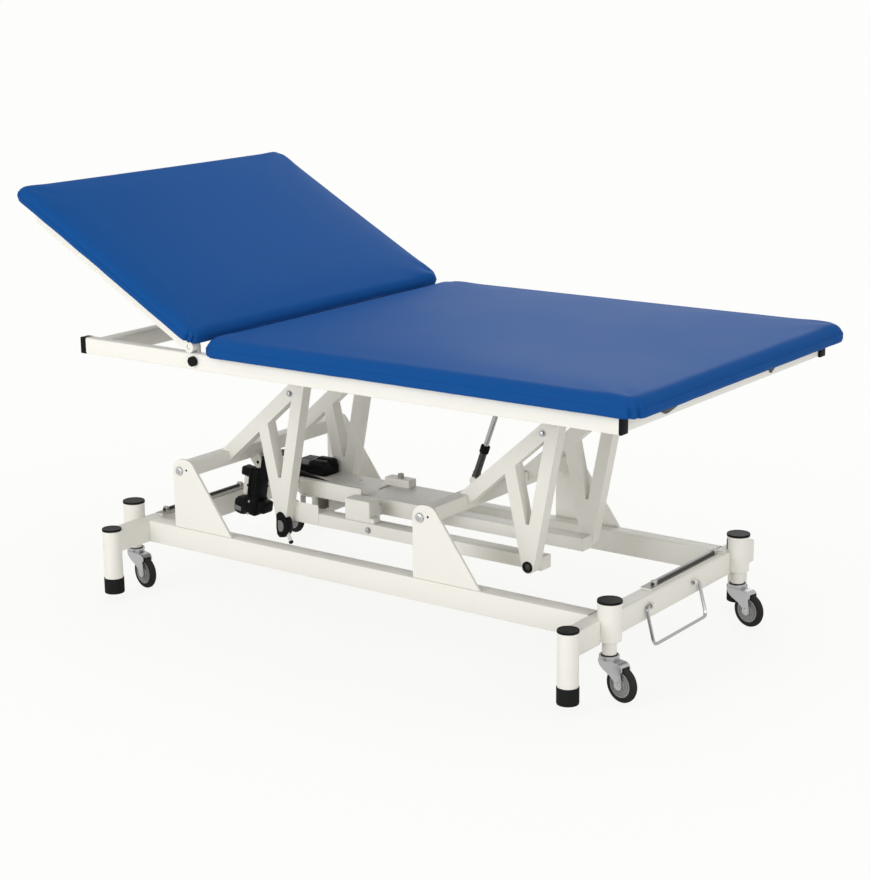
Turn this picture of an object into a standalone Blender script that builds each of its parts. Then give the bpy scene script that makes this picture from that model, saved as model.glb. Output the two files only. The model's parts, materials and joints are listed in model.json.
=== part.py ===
"""Electric examination couch: lift base, deck, backrest, cushions and retractable castors.

Metres, +Z up, +X towards the foot end, -Y the side nearest the viewer. The floor is z = 0 and
the couch stands on its lowered castors with the backrest raised.
"""
import math

import bmesh
import bpy
from mathutils import Matrix, Vector

# Fits
FIT_GAP = 0.0003          # between faces that touch
RUN_GAP = 0.0005          # round a pin in its bore
PLUNGER_GAP = 0.0004      # round a castor plunger in its post
WELD_BITE = 0.0004        # of a welded piece into its neighbour
ROUND_SEGMENTS = 20
PIN_SEGMENTS = 12
FLAT_ANGLE = math.radians(0.05)   # faces closer to level than this become one
THROUGH = 1.0             # half length of a cutter that goes right through

# Base frame
RAIL_BOTTOM_Z = 0.139
RAIL_H = 0.063
RAIL_W = 0.050
RAIL_WALL = 0.0025
RAIL_RADIUS = 0.006
SIDE_RAIL_Y = 0.3157
CROSS_W = 0.045
FOOT_CROSS_X = 0.7815
HEAD_CROSS_X = -0.700
FOOT_POST_R = 0.026
FOOT_POST_WALL = 0.0025
FOOT_POST_RISE = 0.003    # of a foot post above the rails
FOOT_POST_NEAR_Y = 0.464
FOOT_POST_FAR_Y = 0.437
FOOT_POST_FAR_INSET = 0.0245
FOOT_CLEAR_Z = 0.022      # of the rubber feet above the floor on lowered castors
RUBBER_FOOT_H = 0.030
RUBBER_FOOT_FLARE = 0.0015
RUBBER_SPIGOT_H = 0.012

# Castors
CASTOR_Y = 0.328
CASTOR_FOOT_X = 0.8126
CASTOR_HEAD_X = -0.745
CASTOR_POST_R = 0.030
CASTOR_POST_TOP_Z = 0.2464
CASTOR_POST_BOTTOM_Z = 0.1472
CASTOR_POST_LID = 0.003
PLUNGER_R = 0.0180
PLUNGER_LENGTH = 0.085
CASTOR_HEADING = math.radians(-12.0)
CASTOR_TRAIL = 0.042
WHEEL_R = 0.0465
WHEEL_W = 0.022
WHEEL_TREAD_W = 0.012
WHEEL_SHOULDER_R = 0.0437
TYRE_INNER_R = 0.0320
TYRE_W = 0.0200
WEB_R = 0.0305
WEB_W = 0.0132
HUB_R = 0.0140
WHEEL_BORE_R = 0.0045
AXLE_R = 0.0040
AXLE_PROUD = 0.002        # of the axle's ends, outside the fork
FORK_RACE_R = 0.0250
FORK_RACE_H = 0.012
FORK_CROWN_BACK = 0.017   # of the fork's crown behind the swivel axis
FORK_LEG_T = 0.003
FORK_LEG_W = 0.022
FORK_SIDE_GAP = 0.0020    # wheel face to fork leg
FORK_TYRE_GAP = 0.0035    # tyre to fork crown

# Castor lift gear on the cross rails
SHAFT_R = 0.004
SHAFT_HALF = 0.168
SHAFT_MID_Y = {"head": -0.088, "foot": 0.095}
SHAFT_BLOCK_W = 0.014
SHAFT_BLOCK_L = 0.010
SHAFT_BLOCK_H = 0.0155
SHAFT_STRIP_T = 0.003
SHAFT_STRIP_IN = 0.016    # of the strip's edge from the shaft, towards the couch
SHAFT_STRIP_OUT = 0.010
SHAFT_STRIP_HALF = 0.190
BAIL_WIRE_R = 0.0045
BAIL_MID_Y = -0.016
BAIL_HALF_W = 0.133
BAIL_DROP = 0.092
BAIL_REACH = 0.024
BAIL_HOOK = 0.030
BAIL_BEND_R = 0.015
BAIL_BEND_STEPS = 4
BAIL_PIVOT_Z = 0.1755
BAIL_EYE_IN = 0.006       # of the eye's middle from the wire's end
BAIL_LUG_R = 0.009
BAIL_LUG_WALL = 0.001     # between the eye's hole and the rail
BAIL_LUG_W = 0.007

# Lift levers; P is the pivot in the plates, D carries the deck and T the tie frame
PIVOT_HEAD_X = -0.552
PIVOT_FOOT_X = 0.2644
PIVOT_Z = 0.364
LEVER_D = (0.282, 0.245)
LEVER_T = (0.205, -0.142)
LEVER_BRACE_AT = 0.52     # share of the bar where the brace meets it
LEVER_BAR_W = 0.038
LEVER_LEG_W = 0.036
LEVER_STEM_H = 0.095      # of the solid foot of the V above T
LEVER_THICK = 0.035
LEVER_INNER_Y = 0.1253
TORSION_TUBE = 0.040
TORSION_WALL = 0.003
PLATE_THICK = 0.008
PLATE_BEHIND = 0.0236
PLATE_TOP_R = 0.034
PLATE_TOP_SHIFT = 0.012
PLATE_TOE = 0.1815
PIVOT_PIN_R = 0.010
PIVOT_PIN_DEPTH = 0.030
PIVOT_HEAD_R = 0.011
PIVOT_HEAD_T = 0.005
JOINT_PIN_R = 0.010       # pins at D and T

# Tie frame
TIE_OUTER_Y = 0.125
TIE_RAIL_W = 0.048
TIE_RAIL_H = 0.036
TIE_WALL = 0.002
TIE_RADIUS = 0.004
TIE_PAST_T = 0.016
TIE_CROSS_X = (-0.345, -0.300)
TIE_CROSS_RISE = 0.028    # of the head cross piece above the rails
TIE_NOTCH_HALF = 0.026
TIE_NOTCH_Z = -0.002      # of the notch floor, from T
ANCHOR_X = (-0.148, -0.064)
ANCHOR_H = 0.060
ANCHOR_WALL = 0.003
ANCHOR_FAR_Y = 0.000
DUCT_X = 0.060            # foot end of the low cover behind the anchor
DUCT_NEAR_Y = -0.035
TRAY_X = (-0.470, -0.160)
TRAY_INNER_Y = 0.045
TRAY_H = 0.046
TRAY_WALL = 0.002
TRAY_CORNER_R = 0.024
CONTROL_BOX = (0.108, 0.066, 0.044)
CONTROL_BOX_X = -0.412
CONTROL_EDGE_R = 0.004

# Actuator between the head torsion tube and the anchor box
ACT_Y = -0.030
CRANK = (0.026, -0.036)   # of the actuator's rear pivot, from P
CRANK_CHEEK_T = 0.006
CRANK_CHEEK_W = 0.034
ACT_EYE_HALF = 0.009
ACT_EYE_R = 0.013
ACT_PIN_R = 0.005
ACT_TUBE_R = 0.018
ACT_TUBE_END = 0.262      # of the outer tube from the rear pivot
ACT_CORE_START = 0.075
ACT_ROD_R = 0.010
ACT_ROD_START = 0.130
ACT_GEAR_X = (0.0195, 0.066)
ACT_GEAR_Z = (-0.040, 0.020)
ACT_GEAR_HALF = 0.025
ACT_COLUMN_HALF = 0.022
ACT_COLUMN_BACK = 0.024
ACT_COLUMN_Z = (-0.125, -0.0205)
ACT_BASE_X = (-0.072, 0.046)
ACT_BASE_Z = (-0.166, -0.112)
ACT_BASE_HALF = 0.029
ACT_EDGE_R = 0.004
ACT_BLADE_L = 0.036
ACT_BLADE_HALF = 0.008
ANCHOR_CHEEK_T = 0.006
ANCHOR_EYE_OUT = 0.040    # of the rod's eye from the anchor box

# Gas strut between the foot torsion tube and the deck
STRUT_Y = -0.080
STRUT_FOOT = (-0.0124, 0.036)
STRUT_LEAN = 0.367        # run for each unit of rise
STRUT_TOP_RISE = 0.0136   # of the upper eye above the deck rails' underside
STRUT_TUBE_R = 0.0095
STRUT_TUBE_START = 0.016
STRUT_TUBE_END = 0.100
STRUT_SLEEVE_R = 0.0062
STRUT_SLEEVE_END = 0.208
STRUT_ROD_R = 0.0038
STRUT_CORE_START = 0.014
STRUT_ROD_START = 0.110
STRUT_EYE_R = 0.010
STRUT_EYE_HALF = 0.004
STRUT_PIN_R = 0.004
STRUT_CHEEK_T = 0.004
STRUT_CHEEK_W = 0.022
STRUT_EYE_ROOM = 0.005    # from the upper eye to the cross tube
STRUT_CHEEK_REACH = 0.026 # of the upper cheeks past the eye's middle

# Deck
DECK_RAIL_BOTTOM_Z = 0.7064
DECK_RAIL_H = 0.0434
DECK_RAIL_W = 0.030
DECK_WALL = 0.002
DECK_RADIUS = 0.004
DECK_OUTER_Y = 0.5206
DECK_HEAD_X = -0.7195
DECK_FOOT_X = 0.9440
DECK_HEAD_RAIL_X = -0.655
DECK_HEAD_RAIL_W = 0.045
HINGE_LUG_T = 0.008
DECK_HEAD_CROSS_X = -0.225
DECK_BRACKET_T = 0.008
DECK_BRACKET_W = 0.044

# Cushions and backrest
CUSHION_HALF_W = 0.550
SEAT_T = 0.050
BACK_T = 0.046
CUSHION_CROWN = 0.005
CUSHION_DRAW_IN = 0.006
CUSHION_EDGE_R = 0.016
CUSHION_GRID = (12, 10)
SEAT_HEAD_X = -0.270
SEAT_FOOT_X = 1.0100
HINGE_X = -0.331
BACK_ANGLE = math.radians(29.0)
BACK_FOOT_U = -0.006      # of the cushion's lower end, from the hinge towards the head
BACK_HEAD_U = 0.710       # of its head end
BACK_RAIL_U = 0.610
BACK_RAIL_H = 0.032
BACK_BAR_W = 0.036
BACK_BAR_T = 0.006
BACK_BARS_U = (0.060, 0.290, 0.580)
BACK_EAR_R = 0.0150
BACK_PIN_R = 0.007
BACK_PIN_SHORT = 0.003    # of the hinge pin's end, inside the frame's outer face
KNOB_X = -0.314
KNOB_RISE = 0.0242        # above the deck rails' underside
KNOB_R = 0.0135
KNOB_T = 0.011
KNOB_LOBES = 8
KNOB_LOBE_DEPTH = 0.0012
KNOB_STEM_R = 0.005
KNOB_STEM_L = 0.014

# Values that follow from the sizes above
RAIL_TOP_Z = RAIL_BOTTOM_Z + RAIL_H
POST_BORE_R = PLUNGER_R + PLUNGER_GAP
PLATE_OUTER_Y = SIDE_RAIL_Y + RAIL_W / 2
PLATE_INNER_Y = PLATE_OUTER_Y - PLATE_THICK
LEVER_OUTER_Y = LEVER_INNER_Y + LEVER_THICK
T_Z = PIVOT_Z + LEVER_T[1]
D_Z = PIVOT_Z + LEVER_D[1]
TIE_TOP_Z = T_Z + TIE_RAIL_H / 2
TIE_INNER_Y = TIE_OUTER_Y - TIE_RAIL_W
DECK_TOP_Z = DECK_RAIL_BOTTOM_Z + DECK_RAIL_H
DECK_MID_Z = DECK_RAIL_BOTTOM_Z + DECK_RAIL_H / 2
DECK_INNER_Y = DECK_OUTER_Y - DECK_RAIL_W
SEAT_BOTTOM_Z = DECK_TOP_Z + FIT_GAP
HINGE_Z = DECK_TOP_Z + FIT_GAP + BACK_EAR_R
KNOB_Z = DECK_RAIL_BOTTOM_Z + KNOB_RISE
STRUT_TOP_Z = DECK_RAIL_BOTTOM_Z + STRUT_TOP_RISE
BACK_RAIL_TOP = BACK_RAIL_H - BACK_EAR_R + FIT_GAP    # above the hinge, lying flat
BACK_BOTTOM = BACK_RAIL_TOP + FIT_GAP           # of the cushion's underside
BACK_OUTER_Y = DECK_OUTER_Y
BACK_INNER_Y = DECK_INNER_Y + HINGE_LUG_T + FIT_GAP
ACT_REAR = Vector((PIVOT_HEAD_X + CRANK[0], ACT_Y, PIVOT_Z + CRANK[1]))
ACT_FRONT = Vector((ANCHOR_X[0] - ANCHOR_EYE_OUT, ACT_Y, TIE_TOP_Z + FIT_GAP + ANCHOR_H / 2))
ACT_LENGTH = (ACT_FRONT - ACT_REAR).length
ACT_PITCH = -math.atan2(ACT_FRONT.z - ACT_REAR.z, ACT_FRONT.x - ACT_REAR.x)
STRUT_LOW = Vector((PIVOT_FOOT_X + STRUT_FOOT[0], STRUT_Y, PIVOT_Z + STRUT_FOOT[1]))
STRUT_PITCH = math.atan(STRUT_LEAN)
STRUT_LENGTH = (STRUT_TOP_Z - STRUT_LOW.z) / math.cos(STRUT_PITCH)
STRUT_TOP_X = STRUT_LOW.x + STRUT_LEAN * (STRUT_TOP_Z - STRUT_LOW.z)
STRUT_CROSS_X = STRUT_TOP_X + STRUT_EYE_R + STRUT_EYE_ROOM + DECK_RAIL_W / 2
WHEEL_Z = WHEEL_R * math.cos(math.pi / ROUND_SEGMENTS)
RACE_TOP_Z = WHEEL_Z + WHEEL_R + FORK_TYRE_GAP + FORK_LEG_T + FORK_RACE_H
SHAFT_Z = RAIL_TOP_Z + SHAFT_STRIP_T + 2 * RUN_GAP + SHAFT_R
BAIL_X = FOOT_CROSS_X + CROSS_W / 2 + BAIL_LUG_WALL + BAIL_WIRE_R + RUN_GAP

SIDES = (("near", -1), ("far", 1))
ENDS = (("head", HEAD_CROSS_X, CASTOR_HEAD_X), ("foot", FOOT_CROSS_X, CASTOR_FOOT_X))

# Paint and other finishes: colour, roughness, metallic
WHITE_PAINT = ((0.80, 0.79, 0.74), 0.38, 0.0)
BLUE_VINYL = ((0.015, 0.085, 0.290), 0.50, 0.0)
BLACK_PLASTIC = ((0.020, 0.020, 0.021), 0.45, 0.0)
GREY_PLASTIC = ((0.090, 0.090, 0.095), 0.50, 0.0)
BLACK_RUBBER = ((0.025, 0.025, 0.026), 0.75, 0.0)
TYRE_GREY = ((0.050, 0.048, 0.048), 0.70, 0.0)
ZINC = ((0.52, 0.52, 0.53), 0.35, 0.9)
CHROME = ((0.72, 0.72, 0.72), 0.12, 1.0)
DARK_STEEL = ((0.090, 0.090, 0.088), 0.45, 0.6)


def clear_scene():
    """Removes every object of the open file."""
    for item in list(bpy.data.objects):
        bpy.data.objects.remove(item, do_unlink=True)


def finish(name, look):
    """Returns a Principled material for one node."""
    colour, roughness, metallic = look
    material = bpy.data.materials.new(name + "_finish")
    material.use_nodes = True
    shader = material.node_tree.nodes["Principled BSDF"]
    shader.inputs["Base Color"].default_value = (*colour, 1.0)
    shader.inputs["Roughness"].default_value = roughness
    shader.inputs["Metallic"].default_value = metallic
    return material


def axis_empty(name, point, parent=None, rotation=(0.0, 0.0, 0.0)):
    """Returns an empty at a world point; its parents must be unturned."""
    empty = bpy.data.objects.new(name, None)
    bpy.context.scene.collection.objects.link(empty)
    empty.parent = parent
    empty.location = Vector(point) - (world_point(parent) if parent else Vector())
    empty.rotation_euler = rotation
    return empty


def world_point(item):
    """Returns an unturned object's place in the world, from its parents' places."""
    place = Vector(item.location)
    while item.parent:
        item = item.parent
        place += item.location
    return place


def to_object(name, mesh_data, look):
    """Turns a bmesh built in world axes into an object of the scene."""
    bmesh.ops.recalc_face_normals(mesh_data, faces=mesh_data.faces[:])
    mesh = bpy.data.meshes.new(name)
    mesh_data.to_mesh(mesh)
    mesh_data.free()
    item = bpy.data.objects.new(name, mesh)
    bpy.context.scene.collection.objects.link(item)
    if look:
        mesh.materials.append(finish(name, look))
    return item


def hang(item, empty):
    """Parents an object built in world axes to a joint's empty, with its origin there."""
    item.data.transform(Matrix.Translation(-world_point(empty)))
    return hang_local(item, empty)


def hang_local(item, empty):
    """Parents an object that was built round its joint's own origin."""
    merge_flat_faces(item)
    item.parent = empty
    return item


def merge_flat_faces(item):
    """Joins neighbouring faces that lie in one plane."""
    mesh_data = bmesh.new()
    mesh_data.from_mesh(item.data)
    bmesh.ops.dissolve_limit(mesh_data, angle_limit=FLAT_ANGLE, verts=mesh_data.verts[:],
                             edges=mesh_data.edges[:])
    mesh_data.to_mesh(item.data)
    mesh_data.free()


def baked(item):
    """Replaces an object's mesh by what its modifiers make of it."""
    bpy.context.view_layer.update()
    graph = bpy.context.evaluated_depsgraph_get()
    mesh = bpy.data.meshes.new_from_object(item.evaluated_get(graph))
    item.modifiers.clear()
    item.data = mesh
    return item


def combine(item, other, operation):
    """Cuts or joins another object, which goes, and returns the first."""
    modifier = item.modifiers.new(operation.lower(), "BOOLEAN")
    modifier.operation = operation
    modifier.solver = "EXACT"
    modifier.object = other
    baked(item)
    bpy.data.objects.remove(other, do_unlink=True)
    return item


def cut(item, other):
    """Cuts another solid out of an object."""
    return combine(item, other, "DIFFERENCE")


def join(item, other):
    """Welds another solid to an object."""
    return combine(item, other, "UNION")


def bevelled(item, width, segments=2, angle=50.0):
    """Rounds an object's sharp edges with a Bevel modifier that stays on it."""
    modifier = item.modifiers.new("edges", "BEVEL")
    modifier.width = width
    modifier.segments = segments
    modifier.limit_method = "ANGLE"
    modifier.angle_limit = math.radians(angle)
    return item


def box(name, low, high, look=None):
    """Returns a box between two corners."""
    mesh_data = bmesh.new()
    bmesh.ops.create_cube(mesh_data, size=1.0)
    size = Vector(high) - Vector(low)
    centre = (Vector(high) + Vector(low)) / 2
    bmesh.ops.scale(mesh_data, vec=size, verts=mesh_data.verts)
    bmesh.ops.translate(mesh_data, vec=centre, verts=mesh_data.verts)
    return to_object(name, mesh_data, look)


def rod(name, start, end, radius, look=None, segments=PIN_SEGMENTS, end_radius=None):
    """Returns a round bar, or a cone, between two points."""
    start, end = Vector(start), Vector(end)
    mesh_data = bmesh.new()
    bmesh.ops.create_cone(mesh_data, cap_ends=True, segments=segments, radius1=radius,
                          radius2=radius if end_radius is None else end_radius,
                          depth=(end - start).length)
    turn = Vector((0, 0, 1)).rotation_difference(end - start).to_matrix().to_4x4()
    bmesh.ops.transform(mesh_data, matrix=Matrix.Translation((start + end) / 2) @ turn,
                        verts=mesh_data.verts)
    return to_object(name, mesh_data, look)


def rounded_ring(width, height, radius, steps=3):
    """Returns the points of a rounded rectangle, centred, counter-clockwise."""
    points = []
    corners = ((1, 1, 0), (-1, 1, 90), (-1, -1, 180), (1, -1, 270))
    for sign_x, sign_y, start in corners:
        centre = (sign_x * (width / 2 - radius), sign_y * (height / 2 - radius))
        for step in range(steps):
            angle = math.radians(start + 90.0 * step / (steps - 1))
            points.append((centre[0] + radius * math.cos(angle), centre[1] + radius * math.sin(angle)))
    return points


def rect_tube(name, axis, centre, length, width, height, wall, radius, look=None):
    """Returns a square tube with open ends along X or Y; width is level, height is up."""
    outer = rounded_ring(width, height, radius)
    inner = rounded_ring(width - 2 * wall, height - 2 * wall, max(radius - wall, wall / 4))
    mesh_data = bmesh.new()

    def ring(points, along):
        """Adds one end's ring of points."""
        if axis == "X":
            places = [(along, side, up) for side, up in points]
        else:
            places = [(side, along, up) for side, up in points]
        return [mesh_data.verts.new(Vector(place) + Vector(centre)) for place in places]

    half = length / 2
    rings = [ring(outer, -half), ring(outer, half), ring(inner, half), ring(inner, -half)]
    count = len(outer)
    for first, second in zip(rings, rings[1:] + rings[:1]):
        for index in range(count):
            after = (index + 1) % count
            mesh_data.faces.new((first[index], first[after], second[after], second[index]))
    return to_object(name, mesh_data, look)


def turned(name, profile, look=None, segments=ROUND_SEGMENTS, closed=False):
    """Spins a profile of (radius, height) points about Z; closed joins its last point to its first."""
    mesh_data = bmesh.new()
    rings = []
    for radius, height in profile:
        if radius <= 0:
            rings.append([mesh_data.verts.new((0, 0, height))])
            continue
        steps = [2 * math.pi * index / segments for index in range(segments)]
        places = [(radius * math.cos(a), radius * math.sin(a), height) for a in steps]
        rings.append([mesh_data.verts.new(place) for place in places])
    pairs = list(zip(rings, rings[1:]))
    if closed:
        pairs.append((rings[-1], rings[0]))
    for first, second in pairs:
        if len(first) == len(second) == 1:
            continue
        for index in range(segments):
            after = (index + 1) % segments
            corners = [first[index % len(first)], first[after % len(first)],
                       second[after % len(second)], second[index % len(second)]]
            unique = list(dict.fromkeys(corners))
            mesh_data.faces.new(unique)
    return to_object(name, mesh_data, look)


def moved(item, offset, turn=None):
    """Shifts, and first turns, an object's mesh."""
    if turn:
        item.data.transform(turn)
    item.data.transform(Matrix.Translation(Vector(offset)))
    return item


def plate(name, outline, y_low, y_high, look=None):
    """Returns a plate with an outline in X and Z, between two Y values."""
    mesh_data = bmesh.new()
    front = [mesh_data.verts.new((x, y_low, z)) for x, z in outline]
    back = [mesh_data.verts.new((x, y_high, z)) for x, z in outline]
    mesh_data.faces.new(front)
    mesh_data.faces.new(back[::-1])
    for index in range(len(outline)):
        after = (index + 1) % len(outline)
        mesh_data.faces.new((front[after], front[index], back[index], back[after]))
    return to_object(name, mesh_data, look)


def slab(name, outline, z_low, z_high, look=None):
    """Returns a slab with an outline in X and Y, between two Z values."""
    mesh_data = bmesh.new()
    below = [mesh_data.verts.new((x, y, z_low)) for x, y in outline]
    above = [mesh_data.verts.new((x, y, z_high)) for x, y in outline]
    mesh_data.faces.new(below)
    mesh_data.faces.new(above[::-1])
    for index in range(len(outline)):
        after = (index + 1) % len(outline)
        mesh_data.faces.new((below[after], below[index], above[index], above[after]))
    return to_object(name, mesh_data, look)


def arc(centre, radius, start_deg, end_deg, steps):
    """Returns points of an arc in X and Z."""
    angles = [math.radians(start_deg + (end_deg - start_deg) * step / steps) for step in range(steps + 1)]
    return [(centre[0] + radius * math.cos(a), centre[1] + radius * math.sin(a)) for a in angles]


def bar_outline(start, end, width, round_start=True, round_end=True, steps=6):
    """Returns the outline of a flat bar from one point to another, with round ends where asked."""
    way = math.degrees(math.atan2(end[1] - start[1], end[0] - start[0]))
    half = width / 2
    end_steps = steps if round_end else 1
    start_steps = steps if round_start else 1
    return (arc(end, half, way - 90, way + 90, end_steps)
            + arc(start, half, way + 90, way + 270, start_steps))


def y_bore(point, radius, y_low, y_high, segments=PIN_SEGMENTS):
    """Returns a round cutter or pin along Y at a point in X and Z."""
    return rod("bore", (point[0], y_low, point[1]), (point[0], y_high, point[1]), radius, segments=segments)


def base_frame(root):
    """Makes the welded base: side rails, cross rails with foot posts, rubber feet, pivot plates."""
    rail_mid_z = RAIL_BOTTOM_Z + RAIL_H / 2
    head_face = HEAD_CROSS_X + CROSS_W / 2 + FIT_GAP
    foot_face = FOOT_CROSS_X - CROSS_W / 2 - FIT_GAP
    for side, sign in SIDES:
        middle = ((head_face + foot_face) / 2, sign * SIDE_RAIL_Y, rail_mid_z)
        rail = rect_tube(f"base_side_rail_{side}", "X", middle, foot_face - head_face, RAIL_W, RAIL_H,
                         RAIL_WALL, RAIL_RADIUS, WHITE_PAINT)
        hang(rail, root)
    for end, x, castor_x in ENDS:
        hang(end_frame(end, x, castor_x), root)
        for side, sign in SIDES:
            hang(rubber_foot(f"rubber_foot_{side}_{end}", *foot_post(end, x, sign)), root)


def foot_post(end, x, sign):
    """Returns a foot post's X and Y; the far ones stand a little inside the cross rail's middle."""
    if sign < 0:
        return x, -FOOT_POST_NEAR_Y
    inward = -1 if end == "foot" else 1
    return x + inward * FOOT_POST_FAR_INSET, FOOT_POST_FAR_Y


def end_frame(end, x, castor_x):
    """Makes a cross rail welded to its two foot posts, cut round the castor posts."""
    near, far = -FOOT_POST_NEAR_Y, FOOT_POST_FAR_Y
    rail = rect_tube(f"base_end_frame_{end}", "Y", (x, (near + far) / 2, RAIL_BOTTOM_Z + RAIL_H / 2),
                     far - near, CROSS_W, RAIL_H, RAIL_WALL, RAIL_RADIUS, WHITE_PAINT)
    inside = CROSS_W / 2 - RAIL_WALL + WELD_BITE
    low = RAIL_BOTTOM_Z + RAIL_WALL - WELD_BITE
    high = RAIL_TOP_Z - RAIL_WALL + WELD_BITE
    join(rail, box("end_plug", (x - inside, far - RAIL_WALL, low), (x + inside, far - FIT_GAP, high)))
    for _, sign in SIDES:
        post_x, post_y = foot_post(end, x, sign)
        bottom = FOOT_CLEAR_Z + RUBBER_FOOT_H + FIT_GAP
        top = RAIL_TOP_Z + FOOT_POST_RISE
        core = rod("core", (post_x, post_y, bottom - FOOT_POST_R), (post_x, post_y, top - FOOT_POST_WALL),
                   FOOT_POST_R - FOOT_POST_WALL, segments=ROUND_SEGMENTS)
        post = rod("post", (post_x, post_y, bottom), (post_x, post_y, top), FOOT_POST_R,
                   segments=ROUND_SEGMENTS)
        join(rail, post)
        cut(rail, core)
    weld_shaft_bearing(rail, end, x)
    if end == "foot":
        weld_bail_lugs(rail)
    for _, sign in SIDES:
        room = rod("room", (castor_x, sign * CASTOR_Y, 0), (castor_x, sign * CASTOR_Y, 2 * RAIL_TOP_Z),
                   CASTOR_POST_R + FIT_GAP, segments=ROUND_SEGMENTS)
        cut(rail, room)
    return rail


def weld_shaft_bearing(rail, end, x):
    """Welds the strip and the two bearing blocks of a castor shaft to a cross rail's top."""
    inward = -1 if end == "foot" else 1
    middle = SHAFT_MID_Y[end]
    edges = sorted((x + inward * SHAFT_STRIP_IN, x - inward * SHAFT_STRIP_OUT))
    strip = box("strip", (edges[0], middle - SHAFT_STRIP_HALF, RAIL_TOP_Z - WELD_BITE),
                (edges[1], middle + SHAFT_STRIP_HALF, RAIL_TOP_Z + SHAFT_STRIP_T))
    half = SHAFT_BLOCK_W / 2
    for sign in (-1, 1):
        block_y = middle + sign * (SHAFT_HALF - SHAFT_BLOCK_L)
        block = box("block", (x - half, block_y - SHAFT_BLOCK_L / 2, RAIL_TOP_Z + WELD_BITE),
                    (x + half, block_y + SHAFT_BLOCK_L / 2, RAIL_TOP_Z + SHAFT_BLOCK_H))
        join(strip, block)
    cut(strip, y_bore((x, SHAFT_Z), SHAFT_R + RUN_GAP, -THROUGH, THROUGH))
    join(rail, strip)


def weld_bail_lugs(rail):
    """Welds the two eyes that hold the wire bail's ends to the foot cross rail's outer face."""
    for sign in (-1, 1):
        middle = BAIL_MID_Y + sign * (BAIL_HALF_W - BAIL_HOOK + BAIL_EYE_IN)
        lug = y_bore((BAIL_X, BAIL_PIVOT_Z), BAIL_LUG_R, middle - BAIL_LUG_W / 2, middle + BAIL_LUG_W / 2)
        cut(lug, y_bore((BAIL_X, BAIL_PIVOT_Z), BAIL_WIRE_R + RUN_GAP, -THROUGH, THROUGH))
        inner = FOOT_CROSS_X + CROSS_W / 2 - RAIL_WALL / 2
        cut(lug, box("behind", (inner - CROSS_W, -THROUGH, 0), (inner, THROUGH, RAIL_TOP_Z)))
        join(rail, lug)


def rubber_foot(name, x, y):
    """Makes a flared rubber foot with a spigot in its post."""
    spigot_r = FOOT_POST_R - FOOT_POST_WALL - FIT_GAP
    top = FOOT_CLEAR_Z + RUBBER_FOOT_H
    profile = [(0, FOOT_CLEAR_Z), (FOOT_POST_R + RUBBER_FOOT_FLARE, FOOT_CLEAR_Z), (FOOT_POST_R, top),
               (spigot_r, top), (spigot_r, top + RUBBER_SPIGOT_H), (0, top + RUBBER_SPIGOT_H)]
    return moved(turned(name, profile, BLACK_RUBBER), (x, y, 0))


def pivot_plates(root):
    """Makes the four trapezoid plates on the side rails, each with its pivot bolt."""
    bottom = RAIL_TOP_Z + FIT_GAP
    for end, x in (("head", PIVOT_HEAD_X), ("foot", PIVOT_FOOT_X)):
        left = x - PLATE_BEHIND
        crown = (left + PLATE_TOP_R, PIVOT_Z)
        outline = [(left, bottom), (x + PLATE_TOE, bottom)]
        outline += arc((crown[0] + PLATE_TOP_SHIFT, crown[1]), PLATE_TOP_R, 28, 90, 5)
        outline += arc(crown, PLATE_TOP_R, 90, 180, 6)
        for side, sign in SIDES:
            faces = sorted((sign * PLATE_INNER_Y, sign * PLATE_OUTER_Y))
            item = plate(f"pivot_plate_{side}_{end}", outline, *faces, WHITE_PAINT)
            middle_y = sign * (PLATE_OUTER_Y - PLATE_THICK / 2)
            ends = sorted((sign * (PLATE_INNER_Y - PIVOT_PIN_DEPTH), middle_y))
            join(item, y_bore((x, PIVOT_Z), PIVOT_PIN_R, *ends))
            ends = sorted((middle_y, sign * (PLATE_OUTER_Y + PIVOT_HEAD_T)))
            join(item, y_bore((x, PIVOT_Z), PIVOT_HEAD_R, *ends))
            hang(item, root)


def castor(root, side, sign, end, x):
    """Makes one retractable castor: post, plunger, fork and wheel."""
    y = sign * CASTOR_Y
    name = f"{side}_{end}"
    lid_z = CASTOR_POST_TOP_Z - CASTOR_POST_LID
    post_profile = [(CASTOR_POST_R, CASTOR_POST_BOTTOM_Z), (CASTOR_POST_R, CASTOR_POST_TOP_Z),
                    (0, CASTOR_POST_TOP_Z), (0, lid_z), (POST_BORE_R, lid_z),
                    (POST_BORE_R, CASTOR_POST_BOTTOM_Z)]
    post = turned(f"castor_post_{name}", post_profile, WHITE_PAINT, closed=True)
    hang(moved(post, (x, y, 0)), root)

    plunger_bottom = RACE_TOP_Z + FIT_GAP
    slide = axis_empty(f"castor_slide_{name}", (x, y, plunger_bottom), root)
    plunger = rod(f"castor_plunger_{name}", (x, y, plunger_bottom), (x, y, plunger_bottom + PLUNGER_LENGTH),
                  PLUNGER_R, WHITE_PAINT, segments=ROUND_SEGMENTS)
    hang(plunger, slide)

    swivel = axis_empty(f"castor_swivel_{name}", (x, y, RACE_TOP_Z), slide, (0, 0, CASTOR_HEADING))
    hang_local(castor_fork(f"castor_fork_{name}"), swivel)
    wheel = hang_local(castor_wheel(f"castor_wheel_{name}"), swivel)
    wheel.location = (CASTOR_TRAIL, 0, WHEEL_Z - RACE_TOP_Z)


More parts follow.
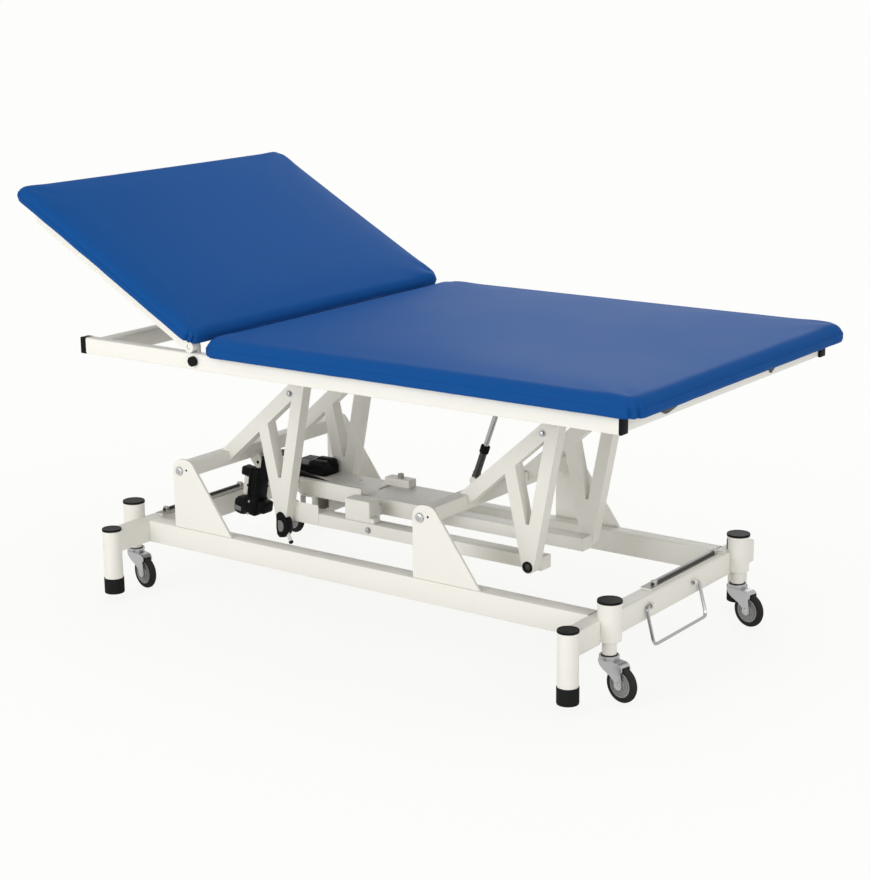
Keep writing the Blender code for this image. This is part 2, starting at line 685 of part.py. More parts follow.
def castor_fork(name):
    """Makes a fork round the swivel axis at the race's top, trailing along +X."""
    leg_y = WHEEL_W / 2 + FORK_SIDE_GAP
    crown_z = -FORK_RACE_H - FORK_LEG_T
    fork = rod(name, (0, 0, -FORK_RACE_H), (0, 0, 0), FORK_RACE_R, ZINC, segments=ROUND_SEGMENTS)
    crown = box("crown", (-FORK_CROWN_BACK, -leg_y - FORK_LEG_T, crown_z),
                (CASTOR_TRAIL + FORK_LEG_W / 2, leg_y + FORK_LEG_T, -FORK_RACE_H + FORK_LEG_T / 2))
    join(fork, crown)
    axle_z = WHEEL_Z - RACE_TOP_Z
    for sign in (-1, 1):
        faces = sorted((sign * leg_y, sign * (leg_y + FORK_LEG_T)))
        outline = [(-FORK_CROWN_BACK, crown_z + FORK_LEG_T / 2)]
        outline += arc((CASTOR_TRAIL, axle_z), FORK_LEG_W / 2, 200, 360, 6)
        outline += [(CASTOR_TRAIL + FORK_LEG_W / 2, crown_z + FORK_LEG_T / 2)]
        join(fork, plate("leg", outline, *faces))
    axle_y = leg_y + FORK_LEG_T + AXLE_PROUD
    return join(fork, y_bore((CASTOR_TRAIL, axle_z), AXLE_R, -axle_y, axle_y))


def castor_wheel(name):
    """Makes a wheel about its axle along Y, a flat of its tread on the floor."""
    profile = [(WHEEL_BORE_R, -WHEEL_W / 2), (HUB_R, -WHEEL_W / 2), (HUB_R, -WEB_W / 2), (WEB_R, -WEB_W / 2),
               (TYRE_INNER_R, -TYRE_W / 2), (WHEEL_SHOULDER_R, -TYRE_W / 2), (WHEEL_R, -WHEEL_TREAD_W / 2)]
    profile += [(radius, -height) for radius, height in reversed(profile)]
    wheel = turned(name, profile, TYRE_GREY, segments=ROUND_SEGMENTS, closed=True)
    quarter = Matrix.Rotation(math.radians(90), 4, "X")
    flat = Matrix.Rotation(math.pi / ROUND_SEGMENTS, 4, "Y")
    wheel.data.transform(flat @ quarter)
    return wheel


def castor_lift_gear(root):
    """Makes the cross shaft on each cross rail and the wire bail on the foot cross rail."""
    for end, x, _ in ENDS:
        middle = SHAFT_MID_Y[end]
        pivot = axis_empty(f"castor_shaft_axis_{end}", (x, middle, SHAFT_Z), root)
        shaft = rod(f"castor_shaft_{end}", (x, middle - SHAFT_HALF, SHAFT_Z),
                    (x, middle + SHAFT_HALF, SHAFT_Z), SHAFT_R, DARK_STEEL)
        hang(shaft, pivot)
    pivot = axis_empty("bail_axis", (BAIL_X, BAIL_MID_Y, BAIL_PIVOT_Z), root)
    wire_bail().parent = pivot


def wire_bail():
    """Makes the U-shaped wire round its pivot; its two ends turn inwards through their eyes."""
    top = Vector()
    low = Vector((BAIL_REACH, 0, -BAIL_DROP))
    across = Vector((0, BAIL_HALF_W, 0))
    hook = Vector((0, BAIL_HALF_W - BAIL_HOOK, 0))
    corners = [top - hook, top - across, low - across, low + across, top + across, top + hook]
    path = [corners[0]]
    for before, corner, after in zip(corners, corners[1:], corners[2:]):
        bend = min(BAIL_BEND_R, (before - corner).length / 2, (after - corner).length / 2)
        start = corner + (before - corner).normalized() * bend
        end = corner + (after - corner).normalized() * bend
        for step in range(BAIL_BEND_STEPS + 1):
            share = step / BAIL_BEND_STEPS
            path.append(start * (1 - share) ** 2 + corner * 2 * share * (1 - share) + end * share ** 2)
    path.append(corners[-1])
    curve = bpy.data.curves.new("wire_bail", "CURVE")
    curve.dimensions = "3D"
    curve.bevel_depth = BAIL_WIRE_R
    curve.bevel_resolution = 1
    curve.use_fill_caps = True
    spline = curve.splines.new("POLY")
    spline.points.add(len(path) - 1)
    for point, place in zip(spline.points, path):
        point.co = (*place, 1.0)
    curve.materials.append(finish("wire_bail", CHROME))
    bail = bpy.data.objects.new("wire_bail", curve)
    bpy.context.scene.collection.objects.link(bail)
    return bail


def lever_group(root, end, x):
    """Makes a torsion tube and its two V-braced levers, which turn together about P."""
    pivot = axis_empty(f"lift_axis_{end}", (x, 0, PIVOT_Z), root)
    tube_half = PLATE_INNER_Y - RUN_GAP
    tube = rect_tube(f"torsion_tube_{end}", "Y", (x, 0, PIVOT_Z), 2 * tube_half, TORSION_TUBE, TORSION_TUBE,
                     TORSION_WALL, TORSION_WALL, WHITE_PAINT)
    half = (TORSION_TUBE - TORSION_WALL) / 2
    for sign in (-1, 1):
        ends = sorted((sign * (tube_half - FIT_GAP), sign * (tube_half - PIVOT_PIN_DEPTH)))
        plug = box("plug", (x - half, ends[0], PIVOT_Z - half), (x + half, ends[1], PIVOT_Z + half))
        cut(plug, y_bore((x, PIVOT_Z), PIVOT_PIN_R + RUN_GAP, -THROUGH, THROUGH))
        join(tube, plug)
    if end == "head":
        weld_cheeks(tube, x, ACT_REAR, ACT_EYE_HALF, CRANK_CHEEK_T, CRANK_CHEEK_W)
        cut(tube, y_bore((ACT_REAR.x, ACT_REAR.z), ACT_PIN_R + RUN_GAP, -THROUGH, THROUGH))
    else:
        weld_cheeks(tube, x, STRUT_LOW, STRUT_EYE_HALF, STRUT_CHEEK_T, STRUT_CHEEK_W)
        half_pin = STRUT_EYE_HALF + FIT_GAP + STRUT_CHEEK_T / 2
        join(tube, y_bore((STRUT_LOW.x, STRUT_LOW.z), STRUT_PIN_R, STRUT_Y - half_pin, STRUT_Y + half_pin))
    hang(tube, pivot)
    for side, sign in SIDES:
        hang(lever(f"lever_{side}_{end}", x, sign), pivot)
    return pivot


def weld_cheeks(tube, x, eye, eye_half, thick, width):
    """Welds two cheeks to a torsion tube that hold an eye between them."""
    half = (TORSION_TUBE - TORSION_WALL) / 2
    for sign in (-1, 1):
        inner = eye.y + sign * (eye_half + FIT_GAP)
        faces = sorted((inner, inner + sign * thick))
        cheek = plate("cheek", bar_outline((x, PIVOT_Z), (eye.x, eye.z), width, round_start=False), *faces)
        cut(cheek, box("hollow", (x - half, -THROUGH, PIVOT_Z - half), (x + half, THROUGH, PIVOT_Z + half)))
        join(tube, cheek)


def lever(name, x, sign):
    """Makes one lever: a bar from the torsion tube to D, a leg from T to D and a brace."""
    faces = sorted((sign * LEVER_INNER_Y, sign * LEVER_OUTER_Y))
    pivot = Vector((x, PIVOT_Z))
    deck_point = pivot + Vector(LEVER_D)
    tie_point = pivot + Vector(LEVER_T)
    brace_point = pivot + LEVER_BRACE_AT * Vector(LEVER_D)
    stem_point = tie_point + Vector((0, LEVER_STEM_H))
    item = plate(name, bar_outline(pivot, deck_point, LEVER_BAR_W, round_start=False), *faces, WHITE_PAINT)
    join(item, plate("leg", bar_outline(tie_point, deck_point, LEVER_LEG_W), *faces))
    join(item, plate("brace", bar_outline(tie_point, brace_point, LEVER_LEG_W, round_end=False), *faces))
    join(item, plate("stem", bar_outline(tie_point, stem_point, LEVER_LEG_W), *faces))
    seat = TORSION_TUBE / 2 + FIT_GAP
    cut(item, box("seat", (x - TORSION_TUBE, -THROUGH, PIVOT_Z - TORSION_TUBE),
                  (x + seat, THROUGH, PIVOT_Z + seat)))
    for point in (deck_point, tie_point):
        cut(item, y_bore(point, JOINT_PIN_R + RUN_GAP, -THROUGH, THROUGH))
    return item


def tie_frame(head_pivot):
    """Makes the tie frame that couples the levers' lower ends."""
    head_t = PIVOT_HEAD_X + LEVER_T[0]
    foot_t = PIVOT_FOOT_X + LEVER_T[0]
    pivot = axis_empty("tie_axis", (head_t, 0, T_Z), head_pivot)
    x_low, x_high = head_t - TIE_PAST_T, foot_t + TIE_PAST_T
    rail_y = TIE_OUTER_Y - TIE_RAIL_W / 2
    for side, sign in SIDES:
        rail = rect_tube(f"tie_rail_{side}", "X", ((x_low + x_high) / 2, sign * rail_y, T_Z), x_high - x_low,
                         TIE_RAIL_W, TIE_RAIL_H, TIE_WALL, TIE_RADIUS, WHITE_PAINT)
        for x in (head_t, foot_t):
            ends = sorted((sign * (TIE_OUTER_Y - TIE_WALL / 2), sign * LEVER_OUTER_Y))
            join(rail, y_bore((x, T_Z), JOINT_PIN_R, *ends))
        hang(rail, pivot)
    hang(tie_head_cross(), pivot)
    hang(anchor_box(), pivot)
    hang(cover_tray(), pivot)
    hang(control_box(), pivot)


def tie_head_cross():
    """Makes the box tube between the tie rails' head ends, notched under the actuator."""
    low, high = T_Z - TIE_RAIL_H / 2, TIE_TOP_Z + TIE_CROSS_RISE
    middle = (sum(TIE_CROSS_X) / 2, 0, (low + high) / 2)
    item = rect_tube("tie_head_cross", "Y", middle, 2 * (TIE_INNER_Y - FIT_GAP),
                     TIE_CROSS_X[1] - TIE_CROSS_X[0], high - low, ANCHOR_WALL, TIE_RADIUS, WHITE_PAINT)
    cut(item, box("notch", (-THROUGH, ACT_Y - TIE_NOTCH_HALF, T_Z + TIE_NOTCH_Z),
                  (THROUGH, ACT_Y + TIE_NOTCH_HALF, THROUGH)))
    return cut(item, box("tray_room", (-THROUGH, TRAY_INNER_Y - FIT_GAP, TIE_TOP_Z),
                         (THROUGH, THROUGH, THROUGH)))


def anchor_box():
    """Makes the folded block on the near tie rail, open below, with the two cheeks for the actuator
    rod's eye and the low cover that joins it to the far tie rail."""
    bottom = TIE_TOP_Z + FIT_GAP
    top, duct_top = bottom + ANCHOR_H, bottom + TRAY_H
    item = box("anchor_box", (ANCHOR_X[0], -TIE_OUTER_Y, bottom), (ANCHOR_X[1], ANCHOR_FAR_Y, top),
               WHITE_PAINT)
    join(item, box("duct", (ANCHOR_X[0], DUCT_NEAR_Y, bottom), (DUCT_X, TIE_OUTER_Y, duct_top)))
    wall = ANCHOR_WALL
    cut(item, box("inside", (ANCHOR_X[0] + wall, wall - TIE_OUTER_Y, bottom - top),
                  (ANCHOR_X[1] - wall, ANCHOR_FAR_Y - wall, top - wall)))
    cut(item, box("inside", (ANCHOR_X[0] + wall, DUCT_NEAR_Y + wall, bottom - top),
                  (DUCT_X - wall, TIE_OUTER_Y - wall, duct_top - wall)))
    seat = (ANCHOR_X[0] + ANCHOR_WALL / 2, ACT_FRONT.z)
    for sign in (-1, 1):
        inner = ACT_Y + sign * (ACT_BLADE_HALF + FIT_GAP)
        faces = sorted((inner, inner + sign * ANCHOR_CHEEK_T))
        outline = bar_outline(seat, (ACT_FRONT.x, ACT_FRONT.z), CRANK_CHEEK_W, round_start=False)
        join(item, plate("cheek", outline, *faces))
    return item


def cover_tray():
    """Makes the folded cover on the far tie rail, open below, with one round corner."""
    corner = (TRAY_X[0] + TRAY_CORNER_R, TRAY_INNER_Y + TRAY_CORNER_R)
    outline = [(TRAY_X[1], TRAY_INNER_Y), (TRAY_X[1], TIE_OUTER_Y), (TRAY_X[0], TIE_OUTER_Y)]
    outline += arc(corner, TRAY_CORNER_R, 180, 270, 6)
    bottom = TIE_TOP_Z + FIT_GAP
    item = slab("cover_tray", outline, bottom, bottom + TRAY_H, WHITE_PAINT)
    corner_inset = TRAY_CORNER_R * (1 - math.sqrt(0.5)) + TRAY_WALL
    inside = box("inside", (TRAY_X[0] + corner_inset, TRAY_INNER_Y + corner_inset, bottom - TRAY_H),
                 (TRAY_X[1] - TRAY_WALL, TIE_OUTER_Y - TRAY_WALL, bottom + TRAY_H - TRAY_WALL))
    return cut(item, inside)


def control_box():
    """Makes the control box on the cover tray."""
    bottom = TIE_TOP_Z + TRAY_H + 2 * FIT_GAP
    middle_y = (TRAY_INNER_Y + TIE_OUTER_Y) / 2
    size_x, size_y, size_z = CONTROL_BOX
    item = box("control_box", (CONTROL_BOX_X - size_x / 2, middle_y - size_y / 2, bottom),
               (CONTROL_BOX_X + size_x / 2, middle_y + size_y / 2, bottom + size_z), GREY_PLASTIC)
    return bevelled(item, CONTROL_EDGE_R)


def actuator(head_pivot):
    """Makes the lift actuator: housing on the crank, motor, and the rod that slides in its tube."""
    pivot = axis_empty("actuator_axis", ACT_REAR, head_pivot, (0, ACT_PITCH, 0))
    housing = rod("actuator_housing", (ACT_GEAR_X[0], 0, 0), (ACT_TUBE_END, 0, 0), ACT_TUBE_R, BLACK_PLASTIC,
                  segments=ROUND_SEGMENTS)
    join(housing, box("gear", (ACT_GEAR_X[0], -ACT_GEAR_HALF, ACT_GEAR_Z[0]),
                      (ACT_GEAR_X[1], ACT_GEAR_HALF, ACT_GEAR_Z[1])))
    neck_end = (ACT_GEAR_X[0] + ACT_GEAR_X[1]) / 2
    neck = bar_outline((0, 0), (neck_end, 0), 2 * ACT_EYE_R)
    join(housing, plate("neck", neck, -ACT_EYE_HALF, ACT_EYE_HALF))
    pin_half = ACT_EYE_HALF + FIT_GAP + CRANK_CHEEK_T
    join(housing, y_bore((0, 0), ACT_PIN_R, -pin_half, pin_half))
    cut(housing, rod("core", (ACT_CORE_START, 0, 0), (ACT_TUBE_END + ACT_TUBE_R, 0, 0),
                     ACT_ROD_R + RUN_GAP, segments=ROUND_SEGMENTS))
    hang_local(housing, pivot)
    hang_local(actuator_motor(), pivot)
    hang_local(actuator_rod(), pivot)


def actuator_motor():
    """Makes the motor column beside the gear housing, with the wider block at its foot."""
    item = box("actuator_motor", (-ACT_COLUMN_BACK, -ACT_COLUMN_HALF, ACT_COLUMN_Z[0]),
               (ACT_GEAR_X[0] - FIT_GAP, ACT_COLUMN_HALF, ACT_COLUMN_Z[1]), BLACK_PLASTIC)
    join(item, box("block", (ACT_BASE_X[0], -ACT_BASE_HALF, ACT_BASE_Z[0]),
                   (ACT_BASE_X[1], ACT_BASE_HALF, ACT_BASE_Z[1])))
    return bevelled(item, ACT_EDGE_R)


def actuator_rod():
    """Makes the rod with the flat eye that ends between the anchor box's cheeks."""
    blade_start = ACT_LENGTH - ACT_BLADE_L
    item = rod("actuator_rod", (ACT_ROD_START, 0, 0), (blade_start + ACT_ROD_R, 0, 0), ACT_ROD_R, CHROME,
               segments=ROUND_SEGMENTS)
    blade = bar_outline((blade_start, 0), (ACT_LENGTH, 0), 2 * ACT_ROD_R, round_start=False)
    return join(item, plate("blade", blade, -ACT_BLADE_HALF, ACT_BLADE_HALF))


def gas_strut(foot_pivot):
    """Makes the gas strut: its cylinder turns on the foot torsion tube, its rod slides to the deck."""
    pivot = axis_empty("strut_axis", STRUT_LOW, foot_pivot, (0, STRUT_PITCH, 0))
    cylinder = rod("strut_cylinder", (0, 0, STRUT_TUBE_START), (0, 0, STRUT_TUBE_END), STRUT_TUBE_R,
                   BLACK_PLASTIC)
    join(cylinder, rod("sleeve", (0, 0, STRUT_TUBE_START), (0, 0, STRUT_SLEEVE_END), STRUT_SLEEVE_R))
    neck = bar_outline((0, 0), (0, STRUT_TUBE_START + STRUT_TUBE_R), 2 * STRUT_EYE_R, round_end=False)
    join(cylinder, plate("neck", neck, -STRUT_EYE_HALF, STRUT_EYE_HALF))
    cut(cylinder, y_bore((0, 0), STRUT_PIN_R + RUN_GAP, -THROUGH, THROUGH))
    cut(cylinder, rod("core", (0, 0, STRUT_CORE_START), (0, 0, STRUT_LENGTH), STRUT_ROD_R + RUN_GAP))
    hang_local(cylinder, pivot)
    piston = rod("strut_rod", (0, 0, STRUT_ROD_START), (0, 0, STRUT_LENGTH), STRUT_ROD_R, CHROME)
    join(piston, y_bore((0, STRUT_LENGTH), STRUT_EYE_R, -STRUT_EYE_HALF, STRUT_EYE_HALF))
    hang_local(piston, pivot)


def deck(head_pivot):
    """Makes the deck frame on its four brackets, with the hinge pins and knobs of the backrest."""
    pivot = axis_empty("deck_axis", (PIVOT_HEAD_X + LEVER_D[0], 0, D_Z), head_pivot)
    rail_y = DECK_OUTER_Y - DECK_RAIL_W / 2
    rail_x = (DECK_HEAD_X + DECK_FOOT_X) / 2
    for side, sign in SIDES:
        rail = rect_tube(f"deck_side_rail_{side}", "X", (rail_x, sign * rail_y, DECK_MID_Z),
                         DECK_FOOT_X - DECK_HEAD_X, DECK_RAIL_W, DECK_RAIL_H, DECK_WALL, DECK_RADIUS,
                         WHITE_PAINT)
        join(rail, hinge_lug(sign))
        ends = sorted((sign * rail_y, sign * THROUGH))
        cut(rail, y_bore((KNOB_X, KNOB_Z), KNOB_STEM_R + RUN_GAP, *ends))
        hang(rail, pivot)
        knob_pivot = axis_empty(f"knob_axis_{side}", (KNOB_X, sign * DECK_OUTER_Y, KNOB_Z), pivot)
        hang_local(knob(f"hinge_knob_{side}", sign), knob_pivot)
    hang(deck_cross("deck_foot_rail", DECK_FOOT_X - DECK_RAIL_W / 2), pivot)
    hang(deck_cross("deck_head_rail", DECK_HEAD_RAIL_X, DECK_HEAD_RAIL_W), pivot)
    head_cross = deck_cross("deck_cross_head", DECK_HEAD_CROSS_X)
    hang(weld_brackets(head_cross, DECK_HEAD_CROSS_X, PIVOT_HEAD_X + LEVER_D[0]), pivot)
    foot_d = PIVOT_FOOT_X + LEVER_D[0]
    hang(weld_brackets(deck_cross("deck_cross_foot", foot_d), foot_d, foot_d), pivot)
    hang(strut_cross(), pivot)
    return pivot


def hinge_lug(sign):
    """Makes a lug for the top of a deck rail, with the pin that carries the backrest."""
    faces = sorted((sign * DECK_INNER_Y, sign * (DECK_INNER_Y + HINGE_LUG_T)))
    foot = (HINGE_X, DECK_TOP_Z - DECK_WALL / 2)
    lug = plate("lug", bar_outline(foot, (HINGE_X, HINGE_Z), 2 * BACK_EAR_R, round_start=False), *faces)
    ends = sorted((sign * (DECK_INNER_Y + HINGE_LUG_T / 2), sign * (BACK_OUTER_Y - BACK_PIN_SHORT)))
    return join(lug, y_bore((HINGE_X, HINGE_Z), BACK_PIN_R, *ends))


def deck_cross(name, x, width=DECK_RAIL_W):
    """Makes a tube between the deck's side rails."""
    return rect_tube(name, "Y", (x, 0, DECK_MID_Z), 2 * (DECK_INNER_Y - FIT_GAP), width, DECK_RAIL_H,
                     DECK_WALL, DECK_RADIUS, WHITE_PAINT)


def weld_brackets(cross, x, pivot_x):
    """Welds two brackets with the lever pins to a cross tube of the deck."""
    outer = LEVER_INNER_Y - FIT_GAP
    for sign in (-1, 1):
        faces = sorted((sign * outer, sign * (outer - DECK_BRACKET_T)))
        outline = bar_outline((x, DECK_MID_Z), (pivot_x, D_Z), DECK_BRACKET_W, round_start=False)
        bracket = plate("bracket", outline, *faces)
        cut(bracket, box("above", (-THROUGH, -THROUGH, DECK_RAIL_BOTTOM_Z + DECK_WALL / 2),
                         (THROUGH, THROUGH, THROUGH)))
        join(cross, bracket)
        ends = sorted((sign * (outer - DECK_BRACKET_T / 2), sign * LEVER_OUTER_Y))
        join(cross, y_bore((pivot_x, D_Z), JOINT_PIN_R, *ends))
    return cross


def strut_cross():
    """Makes the deck's cross tube with the two cheeks round the strut's upper eye."""
    cross = deck_cross("deck_cross_strut", STRUT_CROSS_X)
    face = STRUT_CROSS_X - DECK_RAIL_W / 2
    for sign in (-1, 1):
        inner = STRUT_Y + sign * (STRUT_EYE_HALF + FIT_GAP)
        faces = sorted((inner, inner + sign * STRUT_CHEEK_T))
        low = (STRUT_TOP_X - STRUT_CHEEK_REACH, faces[0], STRUT_TOP_Z - STRUT_CHEEK_W / 2)
        high = (face + DECK_WALL / 2, faces[1], STRUT_TOP_Z + STRUT_CHEEK_W / 2)
        join(cross, box("cheek", low, high))
    return cross


def knob(name, sign):
    """Makes a lobed clamp knob on the outside of a deck rail, round its own axis along Y."""
    steps = 4 * KNOB_LOBES
    outline = []
    for step in range(steps):
        angle = 2 * math.pi * step / steps
        radius = KNOB_R - KNOB_LOBE_DEPTH * (1 - math.cos(KNOB_LOBES * angle)) / 2
        outline.append((radius * math.cos(angle), radius * math.sin(angle)))
    faces = sorted((sign * FIT_GAP, sign * (FIT_GAP + KNOB_T)))
    item = plate(name, outline, *faces, BLACK_PLASTIC)
    ends = sorted((sign * KNOB_T / 2, -sign * KNOB_STEM_L))
    return join(item, y_bore((0, 0), KNOB_STEM_R, *ends))


def backrest(deck_pivot):
    """Makes the backrest frame and its cushion round the hinge, lying flat, and tilts them."""
    pivot = axis_empty("backrest_axis", (HINGE_X, 0, HINGE_Z), deck_pivot, (0, BACK_ANGLE, 0))
    hang_local(backrest_frame(), pivot)
    cushion = padded_block("backrest_cushion", -BACK_HEAD_U, -BACK_FOOT_U, BACK_BOTTOM, BACK_T)
    hang_local(cushion, pivot)


def backrest_frame():
    """Makes the two side rails with their hinge ears, and the flat bars between them."""
    mid_y = (BACK_OUTER_Y + BACK_INNER_Y) / 2
    mid_z = BACK_RAIL_TOP - BACK_RAIL_H / 2
    frame = None
    for sign in (-1, 1):
        rail = rect_tube("backrest_frame", "X", (-BACK_RAIL_U / 2, sign * mid_y, mid_z), BACK_RAIL_U,
                         BACK_OUTER_Y - BACK_INNER_Y, BACK_RAIL_H, DECK_WALL, DECK_RADIUS,
                         None if frame else WHITE_PAINT)
        faces = sorted((sign * BACK_INNER_Y, sign * BACK_OUTER_Y))
        join(rail, y_bore((0, 0), BACK_EAR_R, *faces, segments=ROUND_SEGMENTS))
        cut(rail, y_bore((0, 0), BACK_PIN_R + RUN_GAP, -THROUGH, THROUGH))
        frame = join(frame, rail) if frame else rail
    for along in BACK_BARS_U:
        half_y = BACK_INNER_Y + DECK_WALL / 2
        top = BACK_RAIL_TOP - DECK_RADIUS
        join(frame, box("bar", (-along - BACK_BAR_W / 2, -half_y, top - BACK_BAR_T),
                        (-along + BACK_BAR_W / 2, half_y, top)))
    return frame


def padded_block(name, x_low, x_high, bottom, thick):
    """Makes a cushion: flat below, crowned above, its sides drawn in between the corners."""
    count_x, count_y = CUSHION_GRID
    half_x, mid_x = (x_high - x_low) / 2, (x_low + x_high) / 2
    mesh_data = bmesh.new()

    def layer(top):
        """Adds the points of the underside or the top, row by row."""
        rows = []
        for row in range(count_y + 1):
            across = 2 * row / count_y - 1
            points = []
            for column in range(count_x + 1):
                along = 2 * column / count_x - 1
                x = mid_x + along * (half_x - CUSHION_DRAW_IN * (1 - across ** 2))
                y = across * (CUSHION_HALF_W - CUSHION_DRAW_IN * (1 - along ** 2))
                swell = CUSHION_CROWN * (1 - along ** 4) * (1 - across ** 4)
                z = bottom + (thick - CUSHION_CROWN + swell if top else 0)
                points.append(mesh_data.verts.new((x, y, z)))
            rows.append(points)
        return rows

    low, high = layer(False), layer(True)
    for row in range(count_y):
        for column in range(count_x):
            for rows in (low, high):
                mesh_data.faces.new((rows[row][column], rows[row][column + 1],
                                     rows[row + 1][column + 1], rows[row + 1][column]))
    rims = []
    for rows in (low, high):
        left = [points[0] for points in rows[1:-1]]
        right = [points[-1] for points in rows[1:-1]]
        rims.append(rows[0] + right + rows[-1][::-1] + left[::-1])
    for index in range(len(rims[0])):
        after = (index + 1) % len(rims[0])
        mesh_data.faces.new((rims[0][index], rims[0][after], rims[1][after], rims[1][index]))
    return bevelled(to_object(name, mesh_data, BLUE_VINYL), CUSHION_EDGE_R, segments=3)


def centre_on_origin(root):
    """Moves the couch along X so that the origin lies under the middle of its outer box."""
    bpy.context.view_layer.update()
    graph = bpy.context.evaluated_depsgraph_get()
    reach = []
    for item in bpy.context.scene.objects:
        if item.type == "MESH":
            solid = item.evaluated_get(graph)
            reach += [(solid.matrix_world @ vertex.co).x for vertex in solid.data.vertices]
    root.location.x = -(min(reach) + max(reach)) / 2


def main():
    """Builds the whole couch."""
    clear_scene()
    root = axis_empty("couch_frame", (0, 0, 0))
    base_frame(root)
    pivot_plates(root)
    for side, sign in SIDES:
        for end, _, x in ENDS:
            castor(root, side, sign, end, x)
    castor_lift_gear(root)
    head_pivot = lever_group(root, "head", PIVOT_HEAD_X)
    foot_pivot = lever_group(root, "foot", PIVOT_FOOT_X)
    tie_frame(head_pivot)
    actuator(head_pivot)
    gas_strut(foot_pivot)
    deck_pivot = deck(head_pivot)
    backrest(deck_pivot)
    seat = padded_block("seat_cushion", SEAT_HEAD_X, SEAT_FOOT_X, SEAT_BOTTOM_Z, SEAT_T)
    hang(seat, deck_pivot)
    centre_on_origin(root)


main()
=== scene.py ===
"""Dresses the electric examination couch: finishes, mattresses, fittings, studio and camera."""

import json
import logging
import math
from dataclasses import dataclass, field
from enum import Enum
from typing import Iterable, Optional, Sequence, Union

import bmesh
import bpy
from mathutils import Matrix, Vector, noise

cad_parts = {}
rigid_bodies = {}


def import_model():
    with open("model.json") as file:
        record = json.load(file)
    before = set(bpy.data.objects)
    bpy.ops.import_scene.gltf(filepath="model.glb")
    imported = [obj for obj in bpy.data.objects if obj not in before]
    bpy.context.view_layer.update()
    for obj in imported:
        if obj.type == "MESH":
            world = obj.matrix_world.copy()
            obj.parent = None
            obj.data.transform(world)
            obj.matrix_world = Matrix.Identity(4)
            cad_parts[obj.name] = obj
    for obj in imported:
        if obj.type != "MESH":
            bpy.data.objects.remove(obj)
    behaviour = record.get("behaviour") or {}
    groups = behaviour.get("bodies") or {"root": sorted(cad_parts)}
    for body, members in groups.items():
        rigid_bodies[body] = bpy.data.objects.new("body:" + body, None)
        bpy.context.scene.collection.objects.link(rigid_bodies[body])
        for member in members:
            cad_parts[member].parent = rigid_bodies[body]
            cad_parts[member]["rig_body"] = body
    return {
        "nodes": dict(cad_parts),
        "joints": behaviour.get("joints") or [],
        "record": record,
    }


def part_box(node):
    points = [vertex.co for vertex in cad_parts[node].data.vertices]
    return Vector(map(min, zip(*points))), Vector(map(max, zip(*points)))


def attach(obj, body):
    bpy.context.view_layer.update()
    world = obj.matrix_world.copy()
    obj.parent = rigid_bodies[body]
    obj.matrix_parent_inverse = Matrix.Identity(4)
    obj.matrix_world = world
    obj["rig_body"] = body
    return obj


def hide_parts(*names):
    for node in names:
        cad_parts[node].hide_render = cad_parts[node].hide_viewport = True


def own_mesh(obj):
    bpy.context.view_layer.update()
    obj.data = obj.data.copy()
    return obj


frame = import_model()

LOG = logging.getLogger("couch")
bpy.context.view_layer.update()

Colour = tuple[float, float, float]
Profile = Sequence[tuple[float, float]]
Value = Union[float, tuple, bpy.types.NodeSocket]

JOINTS = {joint["name"]: joint for joint in frame["joints"]}
SLOTS = {row["node"]: row["material_slot"] for row in frame["record"]["subparts"]}
SIDES = (("near", -1), ("far", 1))
ENDS = ("head", "foot")
PROUD = 0.0004            # of a fitted skin over the face that carries it
UP = Vector((0, 0, 1))


def pivot(joint: str) -> Vector:
    """Returns the point that a hinge of the couch turns about."""
    return Vector(JOINTS[joint]["pos_m"])


def direction(joint: str) -> Vector:
    """Returns the unit axis of a joint."""
    return Vector(JOINTS[joint]["axis"]).normalized()


class Effect(Enum):
    """Surface effects that several finishes share, each one shader node group."""

    GRAIN = "fine_grain"
    WEAR = "edge_wear"
    DUST = "settled_dust"


def arc(x: float, z: float, radius: float, degrees: Iterable[float]) -> list[tuple[float, float]]:
    """Returns the points of an arc round a centre, one for each angle."""
    return [(x + radius * math.cos(a), z + radius * math.sin(a)) for a in map(math.radians, degrees)]


def upright(y: float) -> Matrix:
    """Returns the matrix that stands an outline of X and Z upright, its depth towards -Y from a given Y."""
    return Matrix.Translation((0, y, 0)) @ Matrix.Rotation(math.radians(90.0), 4, "X")


class Graph:
    """A shader's node tree, wired by name."""

    def __init__(self, tree: bpy.types.NodeTree) -> None:
        """Takes the tree that the nodes go into."""
        self.tree = tree

    def put(self, value: Value, socket: bpy.types.NodeSocket) -> None:
        """Links a socket to an input, or sets the input to a plain value.

        Args:
            value: A socket, a number, a vector or a colour.
            socket: The input.
        """
        if isinstance(value, bpy.types.NodeSocket):
            self.tree.links.new(value, socket)
        else:
            socket.default_value = value

    def add(self, kind: str, inputs: dict[Union[int, str], Value], **traits) -> bpy.types.NodeOutputs:
        """Adds a node.

        Args:
            kind: Blender's name of its type, without "ShaderNode".
            inputs: A socket or a value for each input, by name or number.
            traits: The node's own properties.

        Returns:
            The node's outputs.
        """
        node = self.tree.nodes.new(f"ShaderNode{kind}")
        for name, value in traits.items():
            setattr(node, name, value)
        for key, value in inputs.items():
            self.put(value, node.inputs[key])
        return node.outputs

    def maths(self, operation: str, first: Value, second: Value) -> bpy.types.NodeSocket:
        """Returns the outcome of a maths node on two sockets or numbers."""
        return self.add("Math", {0: first, 1: second}, operation=operation)[0]

    def mix(self, mask: Value, first: Value, second: Value) -> bpy.types.NodeSocket:
        """Returns the mix of two colours, with as much of the second as the mask says."""
        return self.add("Mix", {0: mask, 6: first, 7: second}, data_type="RGBA")[2]


